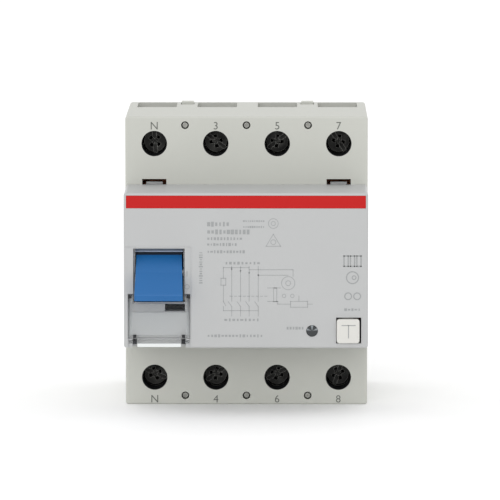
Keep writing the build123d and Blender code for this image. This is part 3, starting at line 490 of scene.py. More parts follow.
def smoked_lens():
    """Smoked lens over a light guide, with three paler wedges of painted glint in its upper half."""
    material, tree, shader, place = start_material("smoked_lens", 0.15)
    low, high = corners("status_lens")
    shift = tree.nodes.new("ShaderNodeMapping")
    shift.inputs["Location"].default_value = -(low + high) / 2
    tree.links.new(place, shift.inputs["Vector"])
    apart = tree.nodes.new("ShaderNodeSeparateXYZ")
    tree.links.new(shift.outputs["Vector"], apart.inputs["Vector"])
    turn = maths(tree, "ARCTAN2", apart.outputs["X"], apart.outputs["Z"])
    wedge = maths(tree, "COSINE", maths(tree, "MULTIPLY", turn, 5.0))
    upper = ramp(tree, apart.outputs["Z"], -0.1 * MM, 0.5 * MM, 0.0, 1.0)
    # Painted glints: paler wedges, only in the upper half.
    painted_glints = maths(tree, "MULTIPLY", ramp(tree, wedge, 0.1, 0.9, 0.0, 1.0), upper)
    tree.links.new(mix(tree, painted_glints, srgb(40, 44, 46), srgb(128, 134, 138)), shader.inputs["Base Color"])
    bump(tree, shader, painted_glints, 0.4, 0.0001)
    return material


def flag_colours():
    """One plate in two colours: the half that shows when off is black, the other half red."""
    material, tree, shader, place = start_material("flag_colours", 0.5)
    shader.inputs["Specular IOR Level"].default_value = 0.12
    low, high = corners("position_flag")
    apart = tree.nodes.new("ShaderNodeSeparateXYZ")
    tree.links.new(place, apart.inputs["Vector"])
    middle = (low.x + high.x) / 2
    side = maths(tree, "GREATER_THAN", apart.outputs["X"], middle)
    skin = group_node(tree, moulded_skin, place)
    tint = mix(tree, skin.outputs["Tint"], srgb(150, 14, 10), srgb(196, 24, 18))
    dark = mix(tree, skin.outputs["Tint"], srgb(8, 9, 9), srgb(18, 19, 19))
    tree.links.new(mix(tree, side, tint, dark), shader.inputs["Base Color"])
    bump(tree, shader, skin.outputs["Height"], 0.2, 0.00003)
    return material


card_paper = plastic(
    "card_paper", srgb(182, 184, 184), shade=0.96, edge=1.02, roughness=0.75, grain=16000.0, relief=0.2
)
dress(clear_flap(), "label_flap")
dress(card_paper, "label_card")
dress(smoked_lens(), "status_lens")
dress(flag_colours(), "position_flag")
print("flap, card, lens, flag")

# %% [markdown]
# Metal next. Cages, frame and pins are zinc-plated steel, the springs are drawn wire, and the current
# path is copper with silver tips where it opens.

# %% Finish the metal
zinc_plate = metal("zinc_plate", srgb(176, 178, 180), srgb(142, 146, 150), roughness=0.36)
pin_steel = metal("pin_steel", srgb(150, 150, 144), srgb(112, 112, 108), roughness=0.42)
drawn_spring = metal("drawn_spring", srgb(168, 170, 172), srgb(120, 122, 126), roughness=0.28, lines=14000.0)
rolled_copper = metal(
    "rolled_copper", srgb(206, 132, 98), srgb(150, 84, 58), roughness=0.3, edge=srgb(238, 176, 140)
)
silver_tip = metal("silver_tip", srgb(206, 204, 198), srgb(150, 146, 138), roughness=0.25, relief=0.15)
dress(zinc_plate, "mechanism_frame", "toggle_axle", "crank_pin", "drive_rod", "trip_lever_pin")
dress(zinc_plate, *numbered("terminal_cage_top", "terminal_cage_bottom"))
dress(pin_steel, "housing_pins")
dress(drawn_spring, "contact_springs", "toggle_spring", "test_contact_spring", "relay_plunger")
dress(rolled_copper, *numbered("line_bar", "load_bar", "contact_bridge"))
dress(silver_tip, "fixed_contact_tips", "moving_contact_tips")
print("steel, copper and silver")

# %% [markdown]
# Inside, the carrier and the trip lever are black glass-filled plastic, whose fibres show as a grey
# fleck. The relay has an ivory cover, the ring core is a wound dark band, and the board is green lacquer.

# %% Finish the inner parts


def flecked_plastic():
    """Black glass-filled plastic with grey fibre flecks."""
    material, tree, shader, place = start_material("flecked_plastic", 0.6)
    fibres = group_node(tree, drawn_metal, place, Lines_per_metre=5000.0)
    fleck = spread(tree, fibres.outputs["Lines"], -1.2, 1.4)
    tree.links.new(mix(tree, fleck, srgb(26, 27, 29), srgb(82, 84, 86)), shader.inputs["Base Color"])
    bump(tree, shader, fibres.outputs["Lines"], 0.3, 0.00004)
    return material


def wound_core():
    """Thin dark band wound into a ring, so its end shows fine rings round the middle."""
    material, tree, shader, place = start_material("wound_core", 0.4, 0.6)
    low, high = corners("sum_transformer")
    shift = tree.nodes.new("ShaderNodeMapping")
    shift.inputs["Location"].default_value = -(low + high) / 2
    tree.links.new(place, shift.inputs["Vector"])
    rings = tree.nodes.new("ShaderNodeTexWave")
    rings.wave_type = "RINGS"
    rings.rings_direction = "Z"
    rings.inputs["Scale"].default_value = 900.0
    rings.inputs["Distortion"].default_value = 0.6
    tree.links.new(shift.outputs["Vector"], rings.inputs["Vector"])
    tint = mix(tree, rings.outputs["Fac"], srgb(58, 60, 66), srgb(112, 114, 120))
    tree.links.new(tint, shader.inputs["Base Color"])
    bump(tree, shader, rings.outputs["Fac"], 0.3, 0.00005)
    return material


def board_lacquer():
    """Green lacquer over a woven laminate, with copper tracks standing out under it."""
    material, tree, shader, place = start_material("board_lacquer", 0.25)
    tracks = tree.nodes.new("ShaderNodeTexBrick")
    tracks.inputs["Scale"].default_value = 260.0
    tracks.inputs["Mortar Size"].default_value = 0.09
    turn = tree.nodes.new("ShaderNodeMapping")
    turn.inputs["Rotation"].default_value = (math.radians(90), 0.0, 0.0)
    tree.links.new(place, turn.inputs["Vector"])
    tree.links.new(turn.outputs["Vector"], tracks.inputs["Vector"])
    tint = mix(tree, tracks.outputs["Fac"], srgb(22, 84, 46), srgb(46, 128, 72))
    tree.links.new(tint, shader.inputs["Base Color"])
    bump(tree, shader, tracks.outputs["Fac"], 0.5, 0.00006)
    shader.inputs["Coat Weight"].default_value = 0.5
    return material


relay_ivory = plastic("relay_ivory", srgb(222, 214, 188), roughness=0.45)
component_black = plastic("component_black", srgb(48, 48, 50), edge=1.4, roughness=0.4, relief=0.2)
wire_yellow = plastic("wire_yellow", srgb(226, 176, 40), roughness=0.35, grain=9000.0, relief=0.1)
dress(flecked_plastic(), "contact_carrier", "trip_lever")
dress(wound_core(), "sum_transformer")
dress(board_lacquer(), "circuit_board")
dress(relay_ivory, "trip_relay")
dress(component_black, "board_components")
dress(wire_yellow, "sense_wires")
print("inner parts")

# %% [markdown]
# Terminal screws are what the wells are for, so each gets a real head and thread. The head has a slot
# crossed with a tapered recess, and the thread is a height that climbs one pitch for every turn round
# the shank. The shape is worked out once and set down eight times, each at its own angle.

# %% Shape one terminal screw
SCREW_PITCH = 1.0 * MM
SCREW_SIDES = 40
RINGS_PER_PITCH = 6
THREAD_DEPTH = 0.45 * MM


def plain_mesh(thing):
    """What an object's curve or modifiers come to, as a plain mesh. The object itself goes."""
    bpy.context.view_layer.update()
    mesh = bpy.data.meshes.new_from_object(thing.evaluated_get(bpy.context.evaluated_depsgraph_get()))
    bpy.data.objects.remove(thing)
    return mesh


def closed_mesh(shape, name):
    """Turns the faces of a closed shape outwards and hands back its mesh."""
    bmesh.ops.recalc_face_normals(shape, faces=shape.faces)
    mesh = bpy.data.meshes.new(name)
    shape.to_mesh(mesh)
    shape.free()
    return mesh


def mesh_piece(name, mesh, material, body):
    """An object for a finished mesh, at the origin, riding on its body."""
    piece = linked(name, mesh)
    mesh.materials.clear()
    mesh.materials.append(material)
    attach(piece, body)
    return piece


def screw_profile(head_radius, head_height, shank_radius, length):
    """Rings from the middle of the head's top down to the shank's end: radius, distance, threaded or not."""
    rings = [(head_radius * 0.9, 0.0, False), (head_radius, 0.35 * MM, False)]
    rings += [(head_radius, head_height * 0.9, False), (head_radius * 0.96, head_height, False)]
    rings.append((shank_radius - THREAD_DEPTH, head_height, False))
    steps = int((length - head_height - 1.2 * MM) / SCREW_PITCH * RINGS_PER_PITCH)
    start = head_height + 0.5 * MM
    rings += [(shank_radius, start + i * SCREW_PITCH / RINGS_PER_PITCH, True) for i in range(steps + 1)]
    rings.append((shank_radius - THREAD_DEPTH * 1.4, length, False))
    return rings


def screw_blank(head_radius, head_height, shank_radius, length):
    """The turned and threaded blank, along +Y from its head's top at the origin."""
    shape = bmesh.new()
    loops = []
    for radius, along, threaded in screw_profile(head_radius, head_height, shank_radius, length):
        loop = []
        for i in range(SCREW_SIDES):
            turn = i / SCREW_SIDES
            phase = (along / SCREW_PITCH - turn) % 1.0
            depth = THREAD_DEPTH * min(1.0, abs(phase - 0.5) * 2.6) if threaded else 0.0
            angle = turn * math.tau
            reach = radius - depth
            loop.append(shape.verts.new((reach * math.cos(angle), along, reach * math.sin(angle))))
        loops.append(loop)
    for upper, lower in zip(loops, loops[1:]):
        for i in range(SCREW_SIDES):
            j = (i + 1) % SCREW_SIDES
            shape.faces.new((upper[i], upper[j], lower[j], lower[i]))
    shape.faces.new(loops[0])
    shape.faces.new(loops[-1])
    return closed_mesh(shape, "screw_blank")


def recess_cutter(width, length, depth, taper):
    """A blade that narrows as it goes in, for a slot or one bar of the cross recess."""
    shape = bmesh.new()
    half_x, half_z = length / 2, width / 2
    plan = [(-half_x, -half_z), (half_x, -half_z), (half_x, half_z), (-half_x, half_z)]
    top = [shape.verts.new((x * 1.08, -0.5 * MM, z * 1.08)) for x, z in plan]
    bottom = [shape.verts.new((x * taper, depth, z * taper)) for x, z in plan]
    for i in range(4):
        j = (i + 1) % 4
        shape.faces.new((top[i], top[j], bottom[j], bottom[i]))
    shape.faces.new(top)
    shape.faces.new(bottom)
    return closed_mesh(shape, "recess_cutter")


def cut(mesh, cutters):
    """Cuts shapes out of a mesh with exact booleans and gives back the plain result."""
    body = linked("cut_body", mesh)
    helpers = []
    for i, (cutter_mesh, turn) in enumerate(cutters):
        cutter_mesh.transform(Matrix.Rotation(turn, 4, "Y"))
        cutter = linked(f"cutter_{i}", cutter_mesh)
        modifier = body.modifiers.new(f"cut_{i}", "BOOLEAN")
        modifier.operation = "DIFFERENCE"
        modifier.solver = "EXACT"
        modifier.object = cutter
        helpers.append(cutter)
    done = plain_mesh(body)
    for cutter in helpers:
        bpy.data.objects.remove(cutter)
    return done


screw_low, screw_high = corners("terminal_screw_top_1")
screw_head_radius = (screw_high.x - screw_low.x) / 2
screw_length = screw_high.y - screw_low.y
blank = screw_blank(screw_head_radius, 3.5 * MM, 2.9 * MM, screw_length)
bars = [
    (recess_cutter(1.1 * MM, 2 * screw_head_radius + 1 * MM, 0.9 * MM, 1.0), 0.0),
    (recess_cutter(1.2 * MM, 4.2 * MM, 1.3 * MM, 0.5), math.radians(45)),
    (recess_cutter(1.2 * MM, 4.2 * MM, 1.3 * MM, 0.5), math.radians(135)),
]
screw_shape = cut(blank, bars)
print("screw:", len(screw_shape.polygons), "faces,", round(screw_length / MM, 1), "mm long")

# %% Set the eight screws down in their wells
# The screws' near-black colour is painted shade of their deep wells; the paler edges are wear.
screw_black = metal(
    "screw_black", srgb(62, 62, 60), srgb(34, 34, 34), roughness=0.5, edge=srgb(150, 150, 146)
)
angles = random.Random(4)
for row in ("top", "bottom"):
    for i in range(1, 5):
        node = f"terminal_screw_{row}_{i}"
        low, high = corners(node)
        mesh = screw_shape.copy()
        mesh.transform(Matrix.Rotation(angles.uniform(0, math.tau), 4, "Y"))
        mesh.transform(Matrix.Translation(((low.x + high.x) / 2, low.y, (low.z + high.z) / 2)))
        screw = mesh_piece(f"screw_{row}_{i}", mesh, screw_black, node)
        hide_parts(node)
print("eight screws")

# %% [markdown]
# The ring core's winding is wire laid turn by turn. Turns that repeat round a path are work for Geometry
# Nodes: one loop of wire is set on points along an arc, each turned to face along it. The number of turns
# and the arc's radius, start and sweep are inputs, so the same tree winds both halves; the wire gauge is
# set in the loop.

# %% Wind the transformer with Geometry Nodes


def winding_tree(loop_object, material):
    """Sets a loop of wire on points of an arc, turned to the arc's direction."""
    tree = bpy.data.node_groups.new("winding", "GeometryNodeTree")
    for name, kind, value in (
        ("Turns", "NodeSocketInt", 10),
        ("Ring radius", "NodeSocketFloat", 0.01),
        ("Start", "NodeSocketFloat", 0.0),
        ("Sweep", "NodeSocketFloat", 1.0),
    ):
        tree.interface.new_socket(name, in_out="INPUT", socket_type=kind).default_value = value
    tree.interface.new_socket("Geometry", in_out="OUTPUT", socket_type="NodeSocketGeometry")
    inside, outside = tree.nodes.new("NodeGroupInput"), tree.nodes.new("NodeGroupOutput")
    arc = tree.nodes.new("GeometryNodeCurveArc")
    arc.mode = "RADIUS"
    points = tree.nodes.new("GeometryNodeCurveToPoints")
    points.mode = "COUNT"
    loop = tree.nodes.new("GeometryNodeObjectInfo")
    loop.inputs["Object"].default_value = loop_object
    place = tree.nodes.new("GeometryNodeInstanceOnPoints")
    real = tree.nodes.new("GeometryNodeRealizeInstances")
    coat = tree.nodes.new("GeometryNodeSetMaterial")
    coat.inputs["Material"].default_value = material
    link = tree.links.new
    arc.inputs["Resolution"].default_value = 128
    link(inside.outputs["Ring radius"], arc.inputs["Radius"])
    link(inside.outputs["Start"], arc.inputs["Start Angle"])
    link(inside.outputs["Sweep"], arc.inputs["Sweep Angle"])
    link(arc.outputs["Curve"], points.inputs["Curve"])
    link(inside.outputs["Turns"], points.inputs["Count"])
    link(points.outputs["Points"], place.inputs["Points"])
    link(loop.outputs["Geometry"], place.inputs["Instance"])
    link(points.outputs["Rotation"], place.inputs["Rotation"])
    link(place.outputs["Instances"], real.inputs["Geometry"])
    link(real.outputs["Geometry"], coat.inputs["Geometry"])
    link(coat.outputs["Geometry"], outside.inputs["Geometry"])
    return tree


def grown(tree, **values):
    """Runs a geometry tree on an empty mesh with its inputs set, and gives back the plain mesh."""
    holder = linked("holder", bpy.data.meshes.new("holder"))
    modifier = holder.modifiers.new("grow", "NODES")
    modifier.node_group = tree
    for item in tree.interface.items_tree:
        key = item.name.replace(" ", "_")
        if item.item_type == "SOCKET" and item.in_out == "INPUT" and key in values:
            modifier[item.identifier] = values[key]
    return plain_mesh(holder)


def wire_loop(width, height, gauge):
    """One turn of wire round the core's section, in the XY plane, as a rounded rectangle."""
    radius = 1.2 * MM
    points = []
    for corner, (sx, sy) in enumerate(((1, 1), (-1, 1), (-1, -1), (1, -1))):
        for step in range(4):
            angle = math.radians(corner * 90 + step * 30)
            centre = (sx * (width / 2 - radius), sy * (height / 2 - radius))
            points.append((centre[0] + radius * math.cos(angle), centre[1] + radius * math.sin(angle)))
    curve = bpy.data.curves.new("wire_loop", "CURVE")
    curve.dimensions = "3D"
    curve.bevel_depth = gauge / 2
    curve.bevel_resolution = 1
    spline = curve.splines.new("POLY")
    spline.points.add(len(points) - 1)
    for point, (x, y) in zip(spline.points, points):
        point.co = (x, y, 0.0, 1.0)
    spline.use_cyclic_u = True
    return linked("wire_loop", plain_mesh(linked("wire_loop", curve)))


WIRE_GAUGE = 0.62 * MM
TURNS = 48
coil_low, coil_high = corners("transformer_winding")
core_low, core_high = corners("sum_transformer")
coil_skin = (coil_high.z - coil_low.z - (core_high.z - core_low.z)) / 2
core_outer = (core_high.x - core_low.x) / 2
core_inner = core_outer - 4.7 * MM
section_width = core_outer - core_inner + 2 * coil_skin - WIRE_GAUGE
section_height = coil_high.z - coil_low.z - WIRE_GAUGE
loop = wire_loop(section_width, section_height, WIRE_GAUGE)
lacquered_wire = metal("lacquered_wire", srgb(176, 92, 44), srgb(120, 52, 24), roughness=0.22, lines=3000.0)
tree = winding_tree(loop, lacquered_wire)
halves = []
for start in (15, 195):
    half = grown(
        tree, Turns=TURNS, Ring_radius=(core_outer + core_inner) / 2, Start=math.radians(start),
        Sweep=math.radians(150),
    )
    halves.append(half)
bpy.data.objects.remove(loop)
joined = bmesh.new()
for half in halves:
    joined.from_mesh(half)
winding_mesh = bpy.data.meshes.new("winding")
joined.to_mesh(winding_mesh)
joined.free()
winding_mesh.transform(Matrix.Translation((coil_low + coil_high) / 2))
winding = mesh_piece("winding", winding_mesh, lacquered_wire, "housing")
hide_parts("transformer_winding")
print("winding:", len(winding_mesh.polygons), "faces in", 2 * TURNS, "turns")

# %% [markdown]
# Print is pad-printed ink: a film so thin that only its edges tell it from the plastic. Ink painted into a
# material blurs, so each mark is a real slab two hundredths of a millimetre thick, half of it sunk in the
# surface. Straight strokes and rings are boxes and bands; the numbers by the terminals are text that is
# turned into a mesh. Numbers only mark terminals here; every other line of print is plain dashes.

# %% Helpers that lay ink on a face
INK = 0.02 * MM
MERGE_WITHIN = 1e-7  # corners this close, in metres, become one


def box_into(shape, low, high, turn=0.0):
    """Adds a closed box to a mesh under construction, turned about its middle in the plane of the face."""
    low, high = Vector(low), Vector(high)
    middle = (low + high) / 2
    made = bmesh.ops.create_cube(shape, size=1.0)["verts"]
    bmesh.ops.scale(shape, vec=high - low, verts=made)
    bmesh.ops.rotate(shape, cent=(0, 0, 0), matrix=Matrix.Rotation(turn, 3, "Y"), verts=made)
    bmesh.ops.translate(shape, vec=middle, verts=made)
    return made


def stroke(shape, start, end, face, width=0.2 * MM):
    """A straight printed line between two places on the face."""
    (x0, z0), (x1, z1) = start, end
    length = math.hypot(x1 - x0, z1 - z0)
    middle = Vector(((x0 + x1) / 2, face, (z0 + z1) / 2))
    half = Vector((length / 2 + width / 2, INK, width / 2))
    box_into(shape, middle - half, middle + half, -math.atan2(z1 - z0, x1 - x0))


def outline(shape, points, face, width=0.2 * MM):
    """A printed closed outline through places on the face."""
    for start, end in zip(points, points[1:] + points[:1]):
        stroke(shape, start, end, face, width)


def band(shape, centre, outer, inner, front, back, sides):
    """A closed band between two radii and two depths, round a line along Y."""
    turns = [i / sides * math.tau for i in range(sides)]
    loops = []
    for radius, y in ((outer, front), (outer, back), (inner, back), (inner, front)):
        places = [(centre[0] + radius * math.cos(a), y, centre[1] + radius * math.sin(a)) for a in turns]
        loops.append([shape.verts.new(place) for place in places])
    for first, second in zip(loops, loops[1:] + loops[:1]):
        for i in range(sides):
            j = (i + 1) % sides
            shape.faces.new((first[i], first[j], second[j], second[i]))


def ring(shape, centre, radius, face, width=0.2 * MM, sides=28):
    """A printed ring."""
    band(shape, centre, radius, radius - width, face - INK, face + INK, sides)


def letter_into(shape, letter, centre, height, face):
    """A text character made into a closed mesh, stood up on the face at a given height."""
    curve = bpy.data.curves.new("letter", "FONT")
    curve.body = letter
    curve.extrude = 1.0
    curve.resolution_u = 4
    mesh = plain_mesh(linked("letter", curve))
    xs, ys = [v.co.x for v in mesh.vertices], [v.co.y for v in mesh.vertices]
    scale = height / (max(ys) - min(ys))
    for v in mesh.vertices:
        flat_x = (v.co.x - (max(xs) + min(xs)) / 2) * scale
        flat_z = (v.co.y - (max(ys) + min(ys)) / 2) * scale
        v.co = (centre[0] + flat_x, face - v.co.z * INK, centre[1] + flat_z)
    shape.from_mesh(mesh)
    bpy.data.meshes.remove(mesh)


def finished_mesh(shape, name):
    """Merges, turns the faces outwards and hands back the mesh."""
    bmesh.ops.remove_doubles(shape, verts=shape.verts, dist=MERGE_WITHIN)
    return closed_mesh(shape, name)


print("ink film", round(2 * INK / MM, 2), "mm")

# %% Mix the inks


def ink(name, colour):
    """Matt ink with the small pinholes that a pad leaves."""
    material, tree, shader, place = start_material(name, 0.6)
    skin = group_node(tree, moulded_skin, place, Grain_per_metre=14000.0)
    pale = tuple(part * 1.5 for part in colour[:3]) + (1.0,)
    tint = mix(tree, spread(tree, skin.outputs["Height"], -0.6, 1.4), colour, pale)
    tree.links.new(tint, shader.inputs["Base Color"])
    bump(tree, shader, skin.outputs["Height"], 0.2, 0.00001)
    return material


terminal_ink = ink("terminal_ink", srgb(84, 86, 82))
label_ink = ink("label_ink", srgb(132, 134, 134))
print("two inks")

# %% [markdown]
# The terminals are numbered above the upper wells and below the lower ones, and the toggle has a line for
# on and a ring for off beside it.

# %% Number the terminals and mark the toggle
NUMBER_HEIGHT = 2.2 * MM
wells = [sum((corners(f"terminal_screw_top_{i}")[k].x for k in (0, 1))) / 2 for i in range(1, 5)]
numbers = bmesh.new()
for row, marks, z in (("top", "N357", 39.75 * MM), ("bottom", "N468", -40.9 * MM)):
    for mark, x in zip(marks, wells):
        letter_into(numbers, mark, (x, z), NUMBER_HEIGHT, shoulder_y)
mesh_piece("terminal_numbers", finished_mesh(numbers, "terminal_numbers"), terminal_ink, "housing")

sunk_face = face_y + 0.25 * MM  # the face round the toggle lies this much lower
mark_x = -17.0 * MM
on_off = bmesh.new()
stroke(on_off, (mark_x, -0.2 * MM), (mark_x, -1.6 * MM), sunk_face, 0.24 * MM)
ring(on_off, (mark_x, -4.7 * MM), 0.75 * MM, sunk_face, 0.22 * MM)
mesh_piece("on_off_marks", finished_mesh(on_off, "on_off_marks"), label_ink, "housing")
print("terminals and toggle marked")

# %% [markdown]
# Lines of small print are many dashes of uneven length, so they are grown with Geometry Nodes: boxes set
# along a line, each with its own random width and height. Length, height, number of dashes and seed are
# inputs, so one tree prints every line of the label.

# %% Grow the lines of small print


def dashes_tree(material):
    """Boxes along a line, each scaled at random."""
    tree = bpy.data.node_groups.new("dashes", "GeometryNodeTree")
    for name, kind, value in (
        ("Length", "NodeSocketFloat", 0.01),
        ("Height", "NodeSocketFloat", 0.001),
        ("Dashes", "NodeSocketInt", 8),
        ("Seed", "NodeSocketInt", 1),
    ):
        tree.interface.new_socket(name, in_out="INPUT", socket_type=kind).default_value = value
    tree.interface.new_socket("Geometry", in_out="OUTPUT", socket_type="NodeSocketGeometry")
    inside, outside = tree.nodes.new("NodeGroupInput"), tree.nodes.new("NodeGroupOutput")
    add, link = tree.nodes.new, tree.links.new
    pitch = add("ShaderNodeMath")
    pitch.operation = "DIVIDE"
    step, size = add("ShaderNodeCombineXYZ"), add("ShaderNodeCombineXYZ")
    size.inputs["Y"].default_value = 2 * INK
    line = add("GeometryNodeMeshLine")
    line.mode = "OFFSET"
    box = add("GeometryNodeMeshCube")
    chance = add("FunctionNodeRandomValue")
    chance.data_type = "FLOAT_VECTOR"
    chance.inputs["Min"].default_value = (0.35, 1.0, 0.55)
    chance.inputs["Max"].default_value = (0.85, 1.0, 1.0)
    place = add("GeometryNodeInstanceOnPoints")
    real = add("GeometryNodeRealizeInstances")
    coat = add("GeometryNodeSetMaterial")
    coat.inputs["Material"].default_value = material
    link(inside.outputs["Length"], pitch.inputs[0])
    link(inside.outputs["Dashes"], pitch.inputs[1])
    link(pitch.outputs["Value"], step.inputs["X"])
    link(pitch.outputs["Value"], size.inputs["X"])
    link(inside.outputs["Height"], size.inputs["Z"])
    link(inside.outputs["Dashes"], line.inputs["Count"])
    link(step.outputs["Vector"], line.inputs["Offset"])
    link(size.outputs["Vector"], box.inputs["Size"])
    link(inside.outputs["Seed"], chance.inputs["Seed"])
    link(line.outputs["Mesh"], place.inputs["Points"])
    link(box.outputs["Mesh"], place.inputs["Instance"])
    link(chance.outputs["Value"], place.inputs["Scale"])
    link(place.outputs["Instances"], real.inputs["Geometry"])
    link(real.outputs["Geometry"], coat.inputs["Geometry"])
    link(coat.outputs["Geometry"], outside.inputs["Geometry"])
    return tree


dashes = dashes_tree(label_ink)
LABEL_LINES = (  # left end, right end and middle of each line in mm, its height, and its number of dashes
    (-11.3, -4.7, 13.5, 1.45, 6),
    (-11.3, 1.2, 11.25, 1.45, 11),
    (-11.3, -1.0, 9.3, 0.95, 11),
    (-11.3, -2.5, 7.6, 0.95, 10),
    (-11.3, -0.2, 5.5, 0.95, 12),
    (-0.9, 5.4, 14.4, 0.6, 10),
    (-0.9, 5.4, 12.7, 0.6, 10),
    (-6.2, 4.2, 2.2, 0.9, 9),
    (-6.4, 4.0, -14.3, 0.9, 9),
    (-11.3, 5.0, -18.95, 0.95, 16),
    (11.6, 16.8, -16.7, 1.1, 6),
    (28.3, 33.2, -11.3, 0.8, 5),
)
label = bmesh.new()
for seed, (left, right, z, height, count) in enumerate(LABEL_LINES, 1):
    row = grown(dashes, Length=(right - left) * MM, Height=height * MM, Dashes=count, Seed=seed)
    first = left + (right - left) / count / 2
    row.transform(Matrix.Translation((first * MM, face_y, z * MM)))
    label.from_mesh(row)
    bpy.data.meshes.remove(row)
side_note = grown(dashes, Length=9.4 * MM, Height=1.2 * MM, Dashes=14, Seed=40)
side_note.transform(Matrix.Rotation(math.radians(90), 4, "Y"))
side_note.transform(Matrix.Translation((-13.0 * MM, face_y, 5.2 * MM)))
label.from_mesh(side_note)
print(len(LABEL_LINES) + 1, "lines of dashes")

# %% [markdown]
# Beside them stands the wiring plan that such a device always carries: four conductors that pass four
# switches and a ring core, the test branch on the left, the relay on the right.

# %% Print the wiring plan


def at(*numbers_mm):
    """A place given in millimetres."""
    return tuple(number * MM for number in numbers_mm)


def frame_of(low, high, width):
    """A printed rectangle on the label between two corners in millimetres."""
    outline(label, [at(*low), at(high[0], low[1]), at(*high), at(low[0], high[1])], face_y, width)


CONDUCTORS = (-4.1, -1.55, 0.93, 3.55)
PLAN_TOP, PLAN_BUS, PLAN_SWITCH, PLAN_FOOT = 1.3, 0.9, -8.9, -13.2
fine = 0.17 * MM
for x in CONDUCTORS:
    stroke(label, at(x, PLAN_TOP), at(x, PLAN_SWITCH), face_y, fine)
    stroke(label, at(x, PLAN_SWITCH - 1.5), at(x, PLAN_FOOT), face_y, fine)
    stroke(label, at(x, PLAN_SWITCH - 1.5), at(x - 1.0, PLAN_SWITCH - 0.1), face_y, fine)
plan_strokes = (
    ((-6.5, PLAN_BUS), (CONDUCTORS[2], PLAN_BUS)),
    ((-6.5, PLAN_BUS), (-6.5, -2.2)),
    ((-6.5, -4.2), (-6.5, -9.0)),
    ((-6.5, -9.0), (-5.8, -10.2)),
    ((-6.5, -11.6), (-6.5, -10.4)),
    ((-6.5, -11.6), (CONDUCTORS[3], -11.6)),
    ((CONDUCTORS[2], 0.3), (13.6, 0.3)),
    ((13.6, 0.3), (13.6, -1.6)),
    ((CONDUCTORS[3], -1.3), (12.2, -1.3)),
    ((6.2, -5.0), (10.0, -5.0)),
    ((6.2, -8.9), (9.2, -8.9)),
    ((9.2, -8.9), (9.2, -9.7)),
    ((9.2, -9.7), (12.9, -9.7)),
    ((15.3, -8.8), (15.3, -7.3)),
    ((17.8, -9.7), (19.2, -9.7)),
)
for start, end in plan_strokes:
    stroke(label, at(*start), at(*end), face_y, fine)
for i in range(9):
    stroke(label, at(-4.6 + i * 1.25, -7.4), at(-3.9 + i * 1.25, -7.4), face_y, fine)
for low, high in (((-7.2, -4.2), (-5.8, -2.2)), ((12.9, -10.6), (17.8, -8.9)), ((8.0, -9.0), (8.9, -5.0))):
    frame_of(low, high, fine)
ring(label, at(12.2, -3.6), 2.0 * MM, face_y, fine)
ring(label, at(12.2, -3.6), 0.8 * MM, face_y, fine)
for x in (11.0, 13.4):
    ring(label, at(x, -7.3), 0.6 * MM, face_y, fine, 16)
for x, z in ((CONDUCTORS[0], 0.5), (CONDUCTORS[1], 0.0), (CONDUCTORS[2], -0.6), (CONDUCTORS[3], -1.3)):
    ring(label, at(x, z), 0.26 * MM, face_y, 0.2 * MM, 12)
print(len(plan_strokes), "strokes in the plan")

# %% [markdown]
# The marks of approval on such a device belong to others, so their places are taken by plain shapes: a
# ring, a triangle and three open squares.

# %% Print the plain marks and lay the label on
ring(label, at(7.9, 13.7), 1.5 * MM, face_y, fine)
ring(label, at(7.9, 13.7), 0.7 * MM, face_y, fine, 16)
outline(label, [at(5.8, 7.1), at(10.0, 7.1), at(7.9, 10.6)], face_y, fine)
ring(label, at(7.9, 8.3), 0.8 * MM, face_y, fine, 16)
for x in (28.9, 30.75, 32.6):
    frame_of((x - 0.6, 1.3), (x + 0.6, 4.3), 0.36 * MM)
ring(label, at(30.75, -2.0), 1.9 * MM, face_y, 0.34 * MM)
ring(label, at(31.2, -2.0), 0.7 * MM, face_y, 0.3 * MM, 16)
for x in (29.5, 32.1):
    ring(label, at(x, -7.4), 1.15 * MM, face_y, 0.34 * MM, 20)
label_print = mesh_piece("label_print", finished_mesh(label, "label_print"), label_ink, "housing")
print("label:", len(label_print.data.polygons), "faces")

# %% [markdown]
# The test button carries an engraved T. The shade in its two thin grooves is painted as dark strokes, made
# with the strokes that print the label.

# %% Paint the shade in the test button's T
T_WIDTH, T_HEIGHT, T_LINE = 3.8 * MM, 3.6 * MM, 0.26 * MM
button_x, button_top = (button_low.x + button_high.x) / 2 + 0.7 * MM, -15.8 * MM
# Dark strokes stand for the painted shade in the T's grooves.
button_mark = bmesh.new()
t_left, t_right = (button_x - T_WIDTH / 2, button_top), (button_x + T_WIDTH / 2, button_top)
stroke(button_mark, t_left, t_right, button_low.y, T_LINE)
stroke(button_mark, (button_x, button_top), (button_x, button_top - T_HEIGHT), button_low.y, T_LINE)
mesh_piece("button_mark", finished_mesh(button_mark, "button_mark"), label_ink, "test_button")
print("button marked")

# %% [markdown]
# Small mouldings finish the toggle and the flap. The toggle's barrel has a ledge across its top that fills
# the opening above the lever; its paler blue is painted light, and a black strip under it is painted shade.
# The flap has a white strip along its lip that is a painted highlight, with dark pads at its corners and
# dark sleeves round its hinge that are painted shade.

# %% Helpers that mould small parts


def bevelled(mesh, width, segments=2):
    """Rounds the edges of a closed mesh with a Bevel modifier and gives back the plain result."""
    holder = linked("holder", mesh)
    modifier = holder.modifiers.new("round", "BEVEL")
    modifier.width = width
    modifier.segments = segments
    modifier.limit_method = "ANGLE"
    modifier.angle_limit = math.radians(35)
    return plain_mesh(holder)


def arc_bar(middle, half_width, inner, outer, start, end, steps):
    """A closed bar bent round an axle along X, between two radii and two angles above the front."""
    shape = bmesh.new()
    sections = []
    for side in (-1, 1):
        section = []
        for radius, order in ((outer, range(steps + 1)), (inner, range(steps, -1, -1))):
            for step in order:
                angle = math.radians(start + (end - start) * step / steps)
                forward, up = radius * math.cos(angle), radius * math.sin(angle)
                place = (middle.x + side * half_width, middle.y - forward, middle.z + up)
                section.append(shape.verts.new(place))
        sections.append(section)
        shape.faces.new(section)
    count = len(sections[0])
    for i in range(count):
        j = (i + 1) % count
        shape.faces.new((sections[0][i], sections[0][j], sections[1][j], sections[1][i]))
    return finished_mesh(shape, "arc_bar")


